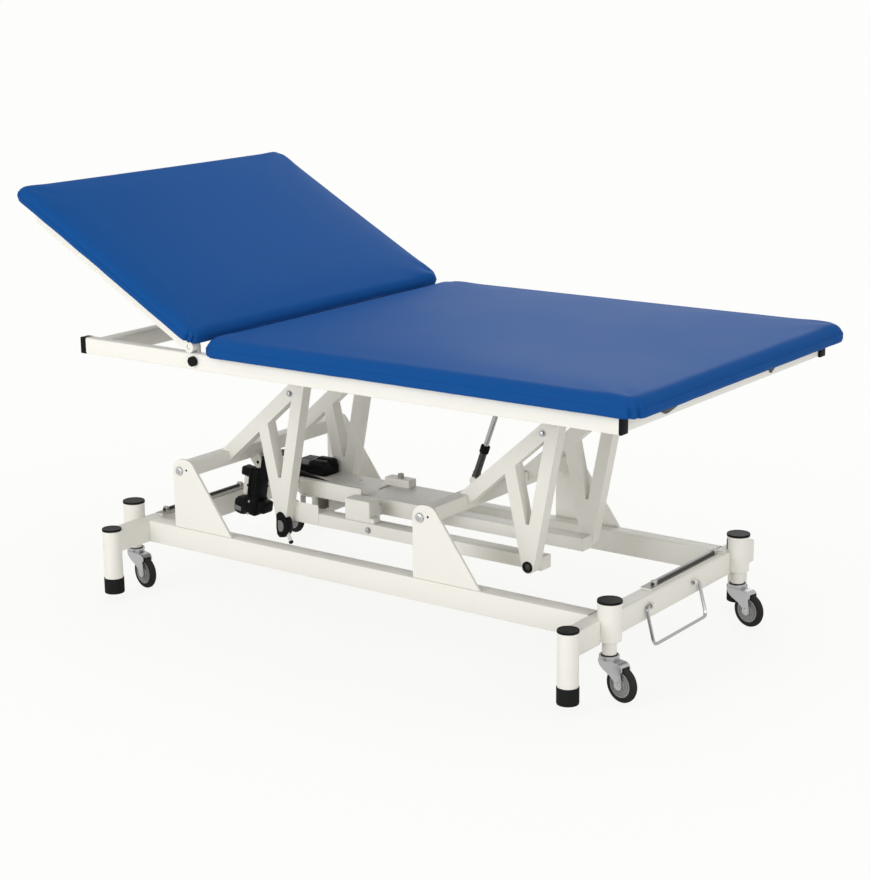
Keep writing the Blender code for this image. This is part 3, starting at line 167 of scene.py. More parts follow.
class EffectBook:
    """Builds the shared node groups, each once."""

    def __init__(self) -> None:
        """Starts with no group built."""
        self._built: dict[Effect, bpy.types.NodeTree] = {}

    def get(self, effect: Effect) -> bpy.types.NodeTree:
        """Gives an effect's node group.

        Args:
            effect: The effect that is asked for.

        Returns:
            The node group, built at the first call.
        """
        if effect not in self._built:
            makers = {Effect.GRAIN: self._grain, Effect.WEAR: self._wear, Effect.DUST: self._dust}
            self._built[effect] = makers[effect]()
        return self._built[effect]

    @staticmethod
    def _open(effect: Effect, *numbers: str) -> tuple[Graph, bpy.types.NodeOutputs]:
        """Starts a group.

        Args:
            effect: The effect that the group is for.
            numbers: The names of its inputs beside the coordinates.

        Returns:
            The group's graph, and the sockets of its inputs.
        """
        tree = bpy.data.node_groups.new(effect.value, "ShaderNodeTree")
        tree.interface.new_socket("Vector", in_out="INPUT", socket_type="NodeSocketVector")
        for name in numbers:
            tree.interface.new_socket(name, in_out="INPUT", socket_type="NodeSocketFloat")
        return Graph(tree), tree.nodes.new("NodeGroupInput").outputs

    @staticmethod
    def _close(graph: Graph, **results: bpy.types.NodeSocket) -> bpy.types.NodeTree:
        """Ends a group with its outputs, and returns its tree."""
        for name in results:
            graph.tree.interface.new_socket(name, in_out="OUTPUT", socket_type="NodeSocketFloat")
        out = graph.tree.nodes.new("NodeGroupOutput")
        for name, socket in results.items():
            graph.put(socket, out.inputs[name])
        return graph.tree

    def _grain(self) -> bpy.types.NodeTree:
        """Makes the pebbled grain: a height for bump, and a slow drift of tone."""
        graph, given = self._open(Effect.GRAIN, "Scale", "Drift")
        place, scale = given["Vector"], given["Scale"]
        cells = graph.add("TexVoronoi", {"Vector": place, "Scale": scale}, feature="SMOOTH_F1")
        coarse = graph.maths("MULTIPLY", scale, 0.45)
        rough = graph.add("TexNoise", {"Detail": 4.0, "Vector": place, "Scale": coarse})
        drift = graph.add("TexNoise", {"Detail": 3.0, "Vector": place, "Scale": given["Drift"]})
        height = graph.maths("ADD", graph.maths("MULTIPLY", cells["Distance"], 0.8),
                             graph.maths("MULTIPLY", rough["Fac"], 0.5))
        return self._close(graph, Height=height, Tone=drift["Fac"])

    def _wear(self) -> bpy.types.NodeTree:
        """Makes a mask of the edges, broken up as handling does it."""
        graph, given = self._open(Effect.WEAR, "Radius")
        rounded = graph.add("Bevel", {"Radius": given["Radius"]}, samples=3)
        flat = graph.add("NewGeometry", {})
        dot = graph.add("VectorMath", {0: rounded["Normal"], 1: flat["Normal"]}, operation="DOT_PRODUCT")
        bend = graph.maths("MULTIPLY", graph.maths("SUBTRACT", 1.0, dot["Value"]), 4.0)
        speck = graph.add("TexNoise", {"Scale": 55.0, "Vector": given["Vector"]})
        mask = graph.maths("MULTIPLY", graph.maths("MINIMUM", bend, 1.0), speck["Fac"])
        return self._close(graph, Mask=mask)

    def _dust(self) -> bpy.types.NodeTree:
        """Makes a mask of faces that look up, in soft patches."""
        graph, given = self._open(Effect.DUST, "Patch")
        split = graph.add("SeparateXYZ", {0: graph.add("NewGeometry", {})["Normal"]})
        patch = graph.add("TexNoise", {"Detail": 5.0, "Vector": given["Vector"], "Scale": given["Patch"]})
        upward = graph.maths("MAXIMUM", split["Z"], 0.0)
        return self._close(graph, Mask=graph.maths("MULTIPLY", upward, patch["Fac"]))


EFFECTS = EffectBook()


@dataclass(frozen=True)
class Finish:
    """One finish of the couch, and how its surface varies.

    The grain is in cells per metre, its depth in metres, and the drift in patches per metre.
    """

    name: str
    colour: Colour
    roughness: float
    metallic: float = 0.0
    coat: float = 0.0
    specular: float = 0.5
    grain: float = 500.0
    grain_depth: float = 0.00005
    grain_strength: float = 0.15
    stretch: Colour = (1.0, 1.0, 1.0)
    drift: float = 4.0
    tone_spread: float = 0.05
    rough_spread: float = 0.05
    worn_colour: Colour = (0.5, 0.5, 0.5)
    wear: float = 0.0
    wear_radius: float = 0.002
    dust_colour: Colour = (0.55, 0.53, 0.50)
    dust: float = 0.0

    def material(self) -> bpy.types.Material:
        """Returns the finish's material, built at the first call."""
        known = bpy.data.materials.get(self.name)
        return known if known else self._build()

    def _build(self) -> bpy.types.Material:
        """Wires the material: grain into bump, drift, wear and dust into colour and roughness."""
        material = bpy.data.materials.new(self.name)
        material.use_nodes = True
        graph = Graph(material.node_tree)
        place = graph.add("TexCoord", {})["Object"]
        mapping = graph.add("Mapping", {"Scale": self.stretch, "Vector": place})
        grain = self._effect(graph, Effect.GRAIN, mapping["Vector"], Scale=self.grain, Drift=self.drift)
        bump = graph.add("Bump", {"Strength": self.grain_strength, "Distance": self.grain_depth,
                                  "Height": grain["Height"]})
        shades = [(*(min(1.0, part * gain) for part in self.colour), 1.0)
                  for gain in (1.0 - self.tone_spread, 1.0 + self.tone_spread)]
        colour = graph.mix(grain["Tone"], *shades)
        layers = ((self.wear, Effect.WEAR, self.worn_colour, {"Radius": self.wear_radius}),
                  (self.dust, Effect.DUST, self.dust_colour, {"Patch": 2.5 * self.drift}))
        for amount, effect, tint, values in layers:
            if amount:
                mask = self._effect(graph, effect, place, **values)["Mask"]
                colour = graph.mix(graph.maths("MULTIPLY", mask, amount), colour, (*tint, 1.0))
        span = graph.add("MapRange", {"To Min": max(0.02, self.roughness - self.rough_spread),
                                      "To Max": min(1.0, self.roughness + self.rough_spread),
                                      "Value": grain["Tone"]})
        shader = material.node_tree.nodes["Principled BSDF"]
        for name, value in (("Metallic", self.metallic), ("Coat Weight", self.coat),
                            ("Specular IOR Level", self.specular), ("Normal", bump["Normal"]),
                            ("Base Color", colour), ("Roughness", span["Result"])):
            graph.put(value, shader.inputs[name])
        material.diffuse_color = (*self.colour, 1.0)
        return material

    @staticmethod
    def _effect(graph: Graph, effect: Effect, place: bpy.types.NodeSocket,
                **values: float) -> bpy.types.NodeOutputs:
        """Places a shared effect.

        Args:
            graph: The material's graph.
            effect: The effect.
            place: The socket of its coordinates.
            values: Its own values, by input name.

        Returns:
            The outputs of the group's node.
        """
        return graph.add("Group", {"Vector": place, **values}, node_tree=EFFECTS.get(effect))


WHITE_PAINT = Finish("white_powder_paint", (0.80, 0.785, 0.735), 0.36, specular=0.16, grain=420.0,
                     grain_depth=0.00008, grain_strength=0.12, tone_spread=0.02, wear=0.10,
                     worn_colour=(0.62, 0.60, 0.55), dust=0.05)
BLUE_VINYL = Finish("blue_upholstery_vinyl", (0.0085, 0.071, 0.262), 0.40, specular=0.012, grain=900.0,
                    grain_depth=0.00012, grain_strength=0.16, drift=3.0, tone_spread=0.06,
                    rough_spread=0.06)
DARK_FELT = Finish("dark_backing_felt", (0.018, 0.018, 0.020), 0.95, grain=1400.0, grain_depth=0.0003,
                   grain_strength=0.5, specular=0.1, tone_spread=0.15)
BLACK_PLASTIC = Finish("black_moulded_plastic", (0.010, 0.010, 0.011), 0.36, specular=0.03, grain=1600.0,
                       grain_strength=0.14, tone_spread=0.12, wear=0.16, worn_colour=(0.08, 0.08, 0.08),
                       dust=0.02)
GREY_PLASTIC = Finish("grey_moulded_plastic", (0.20, 0.20, 0.205), 0.48, specular=0.3, grain=1500.0,
                      grain_strength=0.15, tone_spread=0.08, wear=0.2, worn_colour=(0.35, 0.35, 0.35),
                      dust=0.06)
HUB_GREY = Finish("pale_grey_nylon", (0.30, 0.30, 0.295), 0.42, specular=0.15, grain=1500.0,
                  grain_strength=0.12, tone_spread=0.08, wear=0.3, worn_colour=(0.16, 0.16, 0.16), dust=0.04)
BLACK_RUBBER = Finish("black_foot_rubber", (0.014, 0.014, 0.014), 0.70, specular=0.05, grain=1100.0,
                      grain_depth=0.0001, grain_strength=0.3, tone_spread=0.15, dust=0.05)
TYRE_RUBBER = Finish("grey_tyre_rubber", (0.026, 0.025, 0.025), 0.60, specular=0.03, grain=1300.0,
                     grain_depth=0.0001, grain_strength=0.3, tone_spread=0.15, dust=0.05)
ZINC_PLATE = Finish("zinc_plated_steel", (0.46, 0.46, 0.47), 0.32, metallic=0.95, grain=260.0,
                    grain_strength=0.10, stretch=(1.0, 1.0, 14.0), tone_spread=0.12, rough_spread=0.10,
                    wear=0.45, worn_colour=(0.20, 0.20, 0.20), wear_radius=0.0015)
CHROME_PLATE = Finish("chrome_plate", (0.40, 0.40, 0.405), 0.20, metallic=1.0, grain=120.0,
                      grain_strength=0.03, tone_spread=0.08, rough_spread=0.06)
DARK_STEEL = Finish("oiled_dark_steel", (0.060, 0.060, 0.058), 0.40, metallic=0.75, grain=300.0,
                    grain_strength=0.10, stretch=(1.0, 12.0, 1.0), tone_spread=0.15, rough_spread=0.10)
SATIN_STEEL = Finish("satin_steel", (0.36, 0.345, 0.32), 0.42, metallic=0.25, specular=0.2, grain=240.0,
                     grain_strength=0.10, stretch=(1.0, 10.0, 1.0), tone_spread=0.12, rough_spread=0.08,
                     wear=0.5, worn_colour=(0.10, 0.10, 0.095))
# Flat black that paints the shade inside holes, slots and gaps which are not modelled.
PAINTED_HOLE_SHADE = Finish("painted_hole_shade", (0.010, 0.010, 0.010), 0.90, specular=0.1, grain=300.0, grain_strength=0.1,
                    tone_spread=0.1)

NODE_FINISH = {"white_paint": WHITE_PAINT, "black_rubber": BLACK_RUBBER, "dark_steel": DARK_STEEL,
               "zinc": ZINC_PLATE, "tyre_grey": TYRE_RUBBER, "chrome": CHROME_PLATE,
               "black_plastic": BLACK_PLASTIC, "blue_vinyl": BLUE_VINYL}
FINISH_SLOT = {finish.name: slot for slot, finish in NODE_FINISH.items()}
FINISH_SLOT.update({DARK_FELT.name: "black_plastic", GREY_PLASTIC.name: "black_plastic",
                    PAINTED_HOLE_SHADE.name: "black_plastic", SATIN_STEEL.name: "zinc",
                    HUB_GREY.name: "black_plastic"})


class Shop:
    """Mesh tools that the sub-assemblies share."""

    SMOOTH_ANGLE = math.radians(38.0)
    WELD = 2e-6
    FLAT = math.radians(0.3)
    SOFT_ANGLE = math.radians(50.0)

    @staticmethod
    def piece(name: str, shape: bmesh.types.BMesh, finish: Finish) -> bpy.types.Object:
        """Turns a bmesh into a shaded object.

        Args:
            name: The piece's name.
            shape: Its geometry, which is freed.
            finish: Its finish.

        Returns:
            The new object.
        """
        mesh = bpy.data.meshes.new(name)
        bmesh.ops.recalc_face_normals(shape, faces=shape.faces[:])
        shape.to_mesh(mesh)
        shape.free()
        mesh.shade_smooth()
        mesh.set_sharp_from_angle(angle=Shop.SMOOTH_ANGLE)
        mesh.materials.append(finish.material())
        item = bpy.data.objects.new(name, mesh)
        bpy.context.scene.collection.objects.link(item)
        return item

    @staticmethod
    def mount(item: bpy.types.Object, body: str, *nodes: str, slot: Optional[str] = None) -> None:
        """Sets a piece on its body.

        Args:
            item: The piece, in place.
            body: The body that carries it.
            nodes: The CAD nodes that it stands for.
            slot: Not used.
        """
        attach(item, body)
        if nodes:
            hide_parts(*nodes)
        LOG.info("%s rides on %s", item.name, body)

    @staticmethod
    def axis_frame(centre: Vector, axis: Vector) -> Matrix:
        """Returns the matrix that carries +Z at the origin to an axis at a point."""
        turn = UP.rotation_difference(axis.normalized()).to_matrix().to_4x4()
        return Matrix.Translation(centre) @ turn

    @staticmethod
    def turned(name: str, profile: Profile, centre: Vector, axis: Vector, finish: Finish, segments: int,
               body: str, *nodes: str) -> None:
        """Turns a profile about an axis and sets it on its body.

        Args:
            name: The piece's name.
            profile: Radius and height of each point, from one end to the other; a first and last
                radius of 0 close it, and otherwise it closes onto itself.
            centre: The point of the axis at height 0.
            axis: The axis.
            finish: The finish.
            segments: Steps round the axis.
            body: The body that carries it.
            nodes: The CAD nodes that it stands for.
        """
        shape = bmesh.new()
        rings = []
        for radius, height in profile:
            if radius == 0:
                rings.append([shape.verts.new((0, 0, height))])
                continue
            turns = (2 * math.pi * step / segments for step in range(segments))
            rings.append([shape.verts.new((radius * math.cos(a), radius * math.sin(a), height))
                          for a in turns])
        pairs = list(zip(rings, rings[1:]))
        if len(rings[0]) > 1 and len(rings[-1]) > 1:
            pairs.append((rings[-1], rings[0]))
        for lower, upper in pairs:
            for step in range(segments):
                follow = (step + 1) % segments
                corners = [lower[step % len(lower)], lower[follow % len(lower)],
                           upper[follow % len(upper)], upper[step % len(upper)]]
                shape.faces.new(list(dict.fromkeys(corners)))
        shape.transform(Shop.axis_frame(centre, axis))
        Shop.mount(Shop.piece(name, shape, finish), body, *nodes)

    @staticmethod
    def fit(name: str, low: Sequence[float], high: Sequence[float], finish: Finish, edge: float, body: str,
            *nodes: str, steps: int = 3, place: Optional[Matrix] = None) -> None:
        """Makes a block with rounded edges and sets it on its body.

        Args:
            name: The piece's name.
            low: Its lowest corner.
            high: Its highest corner.
            finish: The finish.
            edge: The radius of its edges.
            body: The body that carries it.
            nodes: The CAD nodes that it stands for.
            steps: Facets in each rounding.
            place: The frame of its corners, if not the couch's.
        """
        shape = bmesh.new()
        bmesh.ops.create_cube(shape, size=1.0)
        start, stop = Vector(low), Vector(high)
        shape.transform(Matrix.Translation((start + stop) / 2) @ Matrix.Diagonal((*(stop - start), 1.0)))
        bmesh.ops.bevel(shape, geom=shape.edges[:], offset=edge, segments=steps, profile=0.5, affect="EDGES")
        item = Shop.piece(name, shape, finish)
        if place:
            item.data.transform(place)
        Shop.mount(item, body, *nodes)

    @staticmethod
    def prism(name: str, outline: Profile, depth: float, place: Matrix, finish: Finish, edge: float,
              body: str, *nodes: str) -> None:
        """Extrudes an outline and sets it on its body.

        Args:
            name: The piece's name.
            outline: Its points, in the plane of the placing matrix's X and Y.
            depth: How far it reaches along the matrix's Z.
            place: The placing matrix.
            finish: The finish.
            edge: The radius of its outer edges, or 0.
            body: The body that carries it.
            nodes: The CAD nodes that it stands for.
        """
        shape = bmesh.new()
        base = shape.faces.new([shape.verts.new((x, y, 0)) for x, y in outline])
        grown = bmesh.ops.extrude_face_region(shape, geom=[base])
        bmesh.ops.translate(shape, vec=(0, 0, depth), verts=[v for v in grown["geom"]
                                                             if isinstance(v, bmesh.types.BMVert)])
        if edge:
            rims = [e for e in shape.edges if abs(e.verts[0].co.z - e.verts[1].co.z) < depth / 2]
            bmesh.ops.bevel(shape, geom=rims, offset=edge, segments=2, profile=0.5, affect="EDGES")
        shape.transform(place)
        Shop.mount(Shop.piece(name, shape, finish), body, *nodes)

    @staticmethod
    def skin(node: str, finish: Optional[Finish] = None, edge: float = 0.0) -> None:
        """Copies a CAD node with smooth shading and softened edges, to stand for it on its body.

        Args:
            node: The node's name.
            finish: Its finish, if not the one of its slot.
            edge: The radius of its edges.
        """
        source = frame["nodes"][node]
        mesh = bpy.data.meshes.new("bare")
        mesh.from_pydata([v.co[:] for v in source.data.vertices], [],
                         [p.vertices[:] for p in source.data.polygons])
        shape = bmesh.new()
        shape.from_mesh(mesh)
        bpy.data.meshes.remove(mesh)
        bmesh.ops.remove_doubles(shape, verts=shape.verts[:], dist=Shop.WELD)
        bmesh.ops.dissolve_limit(shape, angle_limit=Shop.FLAT, verts=shape.verts[:], edges=shape.edges[:])
        item = Shop.piece(f"{node}_skin", shape, finish or NODE_FINISH[SLOTS[node]])
        if edge:
            soft = item.modifiers.new("soft_edges", "BEVEL")
            soft.width = edge
            soft.segments = 2
            soft.limit_method = "ANGLE"
            soft.angle_limit = Shop.SOFT_ANGLE
            soft.harden_normals = True
        Shop.mount(item, source["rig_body"], node, slot=None if finish else SLOTS[node])


@dataclass
class Fasteners:
    """Bolts and caps that recur over the couch."""

    washer_t: float = 0.0016
    head_t: float = 0.0052

    def bolt(self, name: str, point: Vector, normal: Vector, radius: float, body: str,
             finish: Finish = ZINC_PLATE) -> None:
        """Sets a hexagon bolt with its washer on a face.

        Args:
            name: The bolt's name.
            point: The bolt's centre on the face.
            normal: The face's outward normal.
            radius: The hexagon's corner radius.
            body: The body that carries the face.
            finish: The finish.
        """
        rim = 1.45 * radius
        thick = self.washer_t
        washer = [(0, 0), (rim, 0), (rim, 0.7 * thick), (0.96 * rim, thick), (0, thick)]
        Shop.turned(f"{name}_washer", washer, point, normal, finish, 28, body)
        place = Shop.axis_frame(point + normal * thick, normal)
        hexagon = arc(0.0, 0.0, radius, range(0, 360, 60))
        Shop.prism(f"{name}_head", hexagon, self.head_t, place, finish, 0.0008, body)

    def dome(self, name: str, point: Vector, normal: Vector, radius: float, height: float, body: str,
             finish: Finish) -> None:
        """Sets a low domed head on a face.

        Args:
            name: The piece's name.
            point: Its centre on the face.
            normal: The face's outward normal.
            radius: Its radius.
            height: Its height.
            body: The body that carries the face.
            finish: The finish.
        """
        profile = [(0, 0), (radius, 0), (radius, 0.45 * height)]
        profile += [(radius * math.cos(a), height * (0.45 + 0.55 * math.sin(a)))
                    for a in (math.radians(d) for d in (20, 40, 60, 78))]
        profile += [(0, height)]
        Shop.turned(name, profile, point, normal, finish, 32, body)

    def hole(self, name: str, point: Vector, normal: Vector, radius: float, body: str) -> None:
        """Sets a thin black disc of painted shade for the mouth of a small hole on a face.

        Args:
            name: The piece's name.
            point: Its centre on the face.
            normal: The face's outward normal.
            radius: The hole's radius.
            body: The body that carries the face.
        """
        profile = [(0, -PROUD), (radius, -PROUD), (radius, PROUD / 2), (0.75 * radius, PROUD / 2), (0, 0)]
        # The disc's black is painted shade; the hole itself is not modelled.
        Shop.turned(name, profile, point, normal, PAINTED_HOLE_SHADE, 20, body)


FASTENERS = Fasteners()


@dataclass
class Studio:
    """Camera, floor, backdrop and lamps."""

    eye: Vector = field(default_factory=lambda: Vector((3.0810, -4.2063, 1.7700)))
    azimuth: float = math.radians(35.944)
    elevation: float = math.radians(14.090)
    roll: float = math.radians(-0.612)
    lens: float = 81.54
    sensor: float = 36.0
    floor_half: float = 60.0
    backdrop: Colour = (0.985, 0.985, 0.968)
    ambient: float = 0.60
    ambient_colour: Colour = (1.0, 0.970, 0.915)
    floor_colour: Colour = (0.90, 0.895, 0.88)
    floor_drop: float = 0.0005
    fade_from: tuple = (0.9, 0.89)      # distance from the middle, and the share of white shown there
    fade_to: tuple = (2.6, 1.0)
    lamp_colour: Colour = (0.965, 0.985, 1.0)
    lamp_aim: tuple = (0.0, 0.0, 0.5)
    lamps: tuple = (("key", (-1.2, -4.9, 2.0), 3.0, 112.0), ("fill", (4.8, -2.2, 2.0), 2.4, 66.0),
                    ("top", (0.2, 0.6, 4.6), 3.2, 50.0), ("back", (-1.5, 4.2, 3.0), 2.6, 40.0))

    def build(self) -> None:
        """Makes the camera, the floor, the world and the lamps."""
        bpy.context.scene.view_settings.view_transform = "Standard"
        self._camera()
        self._world()
        self._floor()
        for name, place, size, watts in self.lamps:
            self._lamp(name, Vector(place), size, watts)

    def _camera(self) -> None:
        """Sets the camera at the photograph's place."""
        data = bpy.data.cameras.new("photo_camera")
        data.lens = self.lens
        data.sensor_width = self.sensor
        camera = bpy.data.objects.new("photo_camera", data)
        back = Vector((math.sin(self.azimuth) * math.cos(self.elevation),
                       -math.cos(self.azimuth) * math.cos(self.elevation), math.sin(self.elevation)))
        aim = (-back).to_track_quat("-Z", "Y").to_matrix().to_4x4()
        camera.matrix_world = Matrix.Translation(self.eye) @ aim @ Matrix.Rotation(self.roll, 4, "Z")
        bpy.context.scene.collection.objects.link(camera)
        bpy.context.scene.camera = camera

    @staticmethod
    def _seen(graph: Graph) -> bpy.types.NodeSocket:
        """Returns a socket that is 1 for camera, glossy and transmission rays."""
        path = graph.add("LightPath", {})
        plain = graph.maths("MAXIMUM", path["Is Camera Ray"], path["Is Glossy Ray"])
        return graph.maths("MAXIMUM", plain, path["Is Transmission Ray"])

    def _world(self) -> None:
        """Makes a white surround that lights the couch evenly."""
        world = bpy.data.worlds.new("studio_world")
        world.use_nodes = True
        bpy.context.scene.world = world
        graph, nodes = Graph(world.node_tree), world.node_tree.nodes
        light = nodes["Background"]
        graph.put((*self.ambient_colour, 1.0), light.inputs["Color"])
        graph.put(self.ambient, light.inputs["Strength"])
        shown = graph.add("Background", {"Color": (*self.backdrop, 1.0)})
        mix = graph.add("MixShader", {0: self._seen(graph), 1: light.outputs[0], 2: shown[0]})
        graph.put(mix[0], nodes["World Output"].inputs["Surface"])

    def _floor(self) -> None:
        """Makes the pale floor, which keeps a soft shadow."""
        shape = bmesh.new()
        bmesh.ops.create_grid(shape, x_segments=1, y_segments=1, size=self.floor_half)
        mesh = bpy.data.meshes.new("floor")
        shape.to_mesh(mesh)
        shape.free()
        material = bpy.data.materials.new("pale_floor")
        material.use_nodes = True
        graph = Graph(material.node_tree)
        matt = graph.add("BsdfDiffuse", {"Color": (*self.floor_colour, 1.0)})
        glow = graph.add("Emission", {"Color": (*self.backdrop, 1.0)})
        away = graph.add("VectorMath", {0: graph.add("TexCoord", {})["Object"]}, operation="LENGTH")
        fade = graph.add("MapRange", {"From Min": self.fade_from[0], "To Min": self.fade_from[1],
                                      "From Max": self.fade_to[0], "To Max": self.fade_to[1],
                                      "Value": away["Value"]})
        share = graph.maths("MULTIPLY", self._seen(graph), fade["Result"])
        mix = graph.add("MixShader", {0: share, 1: matt[0], 2: glow[0]})
        graph.put(mix[0], material.node_tree.nodes["Material Output"].inputs["Surface"])
        mesh.materials.append(material)
        floor = bpy.data.objects.new("floor", mesh)
        floor.location.z = -self.floor_drop
        bpy.context.scene.collection.objects.link(floor)

    def _lamp(self, name: str, place: Vector, size: float, watts: float) -> None:
        """Hangs a square soft lamp that looks at the couch.

        Args:
            name: The lamp's name.
            place: Where it hangs.
            size: Its side.
            watts: Its power.
        """
        data = bpy.data.lights.new(f"{name}_lamp", "AREA")
        data.size = size
        data.energy = watts
        data.color = self.lamp_colour
        lamp = bpy.data.objects.new(f"{name}_lamp", data)
        lamp.location = place
        lamp.rotation_mode = "QUATERNION"
        lamp.rotation_quaternion = (Vector(self.lamp_aim) - place).to_track_quat("-Z", "Y")
        bpy.context.scene.collection.objects.link(lamp)


@dataclass
class BaseFrame:
    """Rails, end frames, pivot plates, feet and their caps."""

    edge: float = 0.0012
    post_r: float = 0.0260
    post_top: float = 0.2050
    shoe_r: float = 0.0276
    shoe_h: float = 0.0440
    shoe_floor: float = 0.0290
    cap_over: float = 0.0009
    cap_skirt: float = 0.0045
    cap_rise: float = 0.0016
    boss_rise: float = 0.005            # of the pivot's boss past the plate's face
    head_r: float = 0.0125
    head_h: float = 0.0062
    hole_at: tuple = (0.025, 0.005)     # from the pivot, along X and Z
    hole_r: float = 0.0032

    def build(self) -> None:
        """Dresses the base."""
        for side, sign in SIDES:
            Shop.skin(f"base_side_rail_{side}")
            for end in ENDS:
                self._plate(side, sign, end)
                self._foot(side, end)
        for end in ENDS:
            Shop.skin(f"base_end_frame_{end}")

    def _plate(self, side: str, sign: int, end: str) -> None:
        """Dresses one pivot plate, with its pivot bolt and a disc of painted shade for the small hole beside
        it.
        """
        node = f"pivot_plate_{side}_{end}"
        Shop.skin(node, edge=self.edge)
        low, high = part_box(node)
        centre = pivot(f"lift_{end}_pivot")
        outer = low.y if sign < 0 else high.y
        normal = Vector((0, sign, 0))
        face = outer - sign * self.boss_rise
        point = Vector((centre.x, face, centre.z))
        FASTENERS.dome(f"{node}_pivot_head", point, normal, self.head_r, self.head_h, "base", ZINC_PLATE)
        hole = Vector((centre.x + self.hole_at[0], face, centre.z + self.hole_at[1]))
        # a black disc of painted shade where the small hole is
        FASTENERS.hole(f"{node}_hole", hole, normal, self.hole_r, "base")

    def _foot(self, side: str, end: str) -> None:
        """Dresses one rubber foot and caps the tube above it."""
        node = f"rubber_foot_{side}_{end}"
        low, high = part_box(node)
        middle = (low + high) / 2
        rim, bore, tall = self.shoe_r, self.post_r + PROUD, self.shoe_h
        profile = [(0, 0), (rim - 0.0030, 0), (rim - 0.0008, 0.0008), (rim, 0.0030), (rim, 0.0120),
                   (rim - 0.0006, 0.0126), (rim - 0.0006, 0.0136), (rim, 0.0142), (rim, tall - 0.0010),
                   (rim - 0.0008, tall), (bore, tall), (bore, self.shoe_floor), (0, self.shoe_floor)]
        Shop.turned(f"rubber_shoe_{side}_{end}", profile, Vector((middle.x, middle.y, low.z)), UP,
                    BLACK_RUBBER, 48, "base", node)
        top = Vector((middle.x, middle.y, self.post_top))
        self.cap(f"foot_post_cap_{side}_{end}", top, self.post_r, "base")

    def cap(self, name: str, top: Vector, radius: float, body: str) -> None:
        """Caps a round post.

        Args:
            name: The cap's name.
            top: The middle of the post's upper end.
            radius: The post's radius.
            body: The body that carries the post.
        """
        rim = radius + self.cap_over
        inner = 0.90 * rim
        profile = [(0, PROUD), (radius, PROUD), (radius, -self.cap_skirt), (rim, -self.cap_skirt),
                   (rim, 0.2 * self.cap_rise), (rim - 0.0006, self.cap_rise), (inner, self.cap_rise),
                   (inner - 0.0006, 0.6 * self.cap_rise), (0, 0.6 * self.cap_rise)]
        Shop.turned(name, profile, top, UP, BLACK_PLASTIC, 48, body)


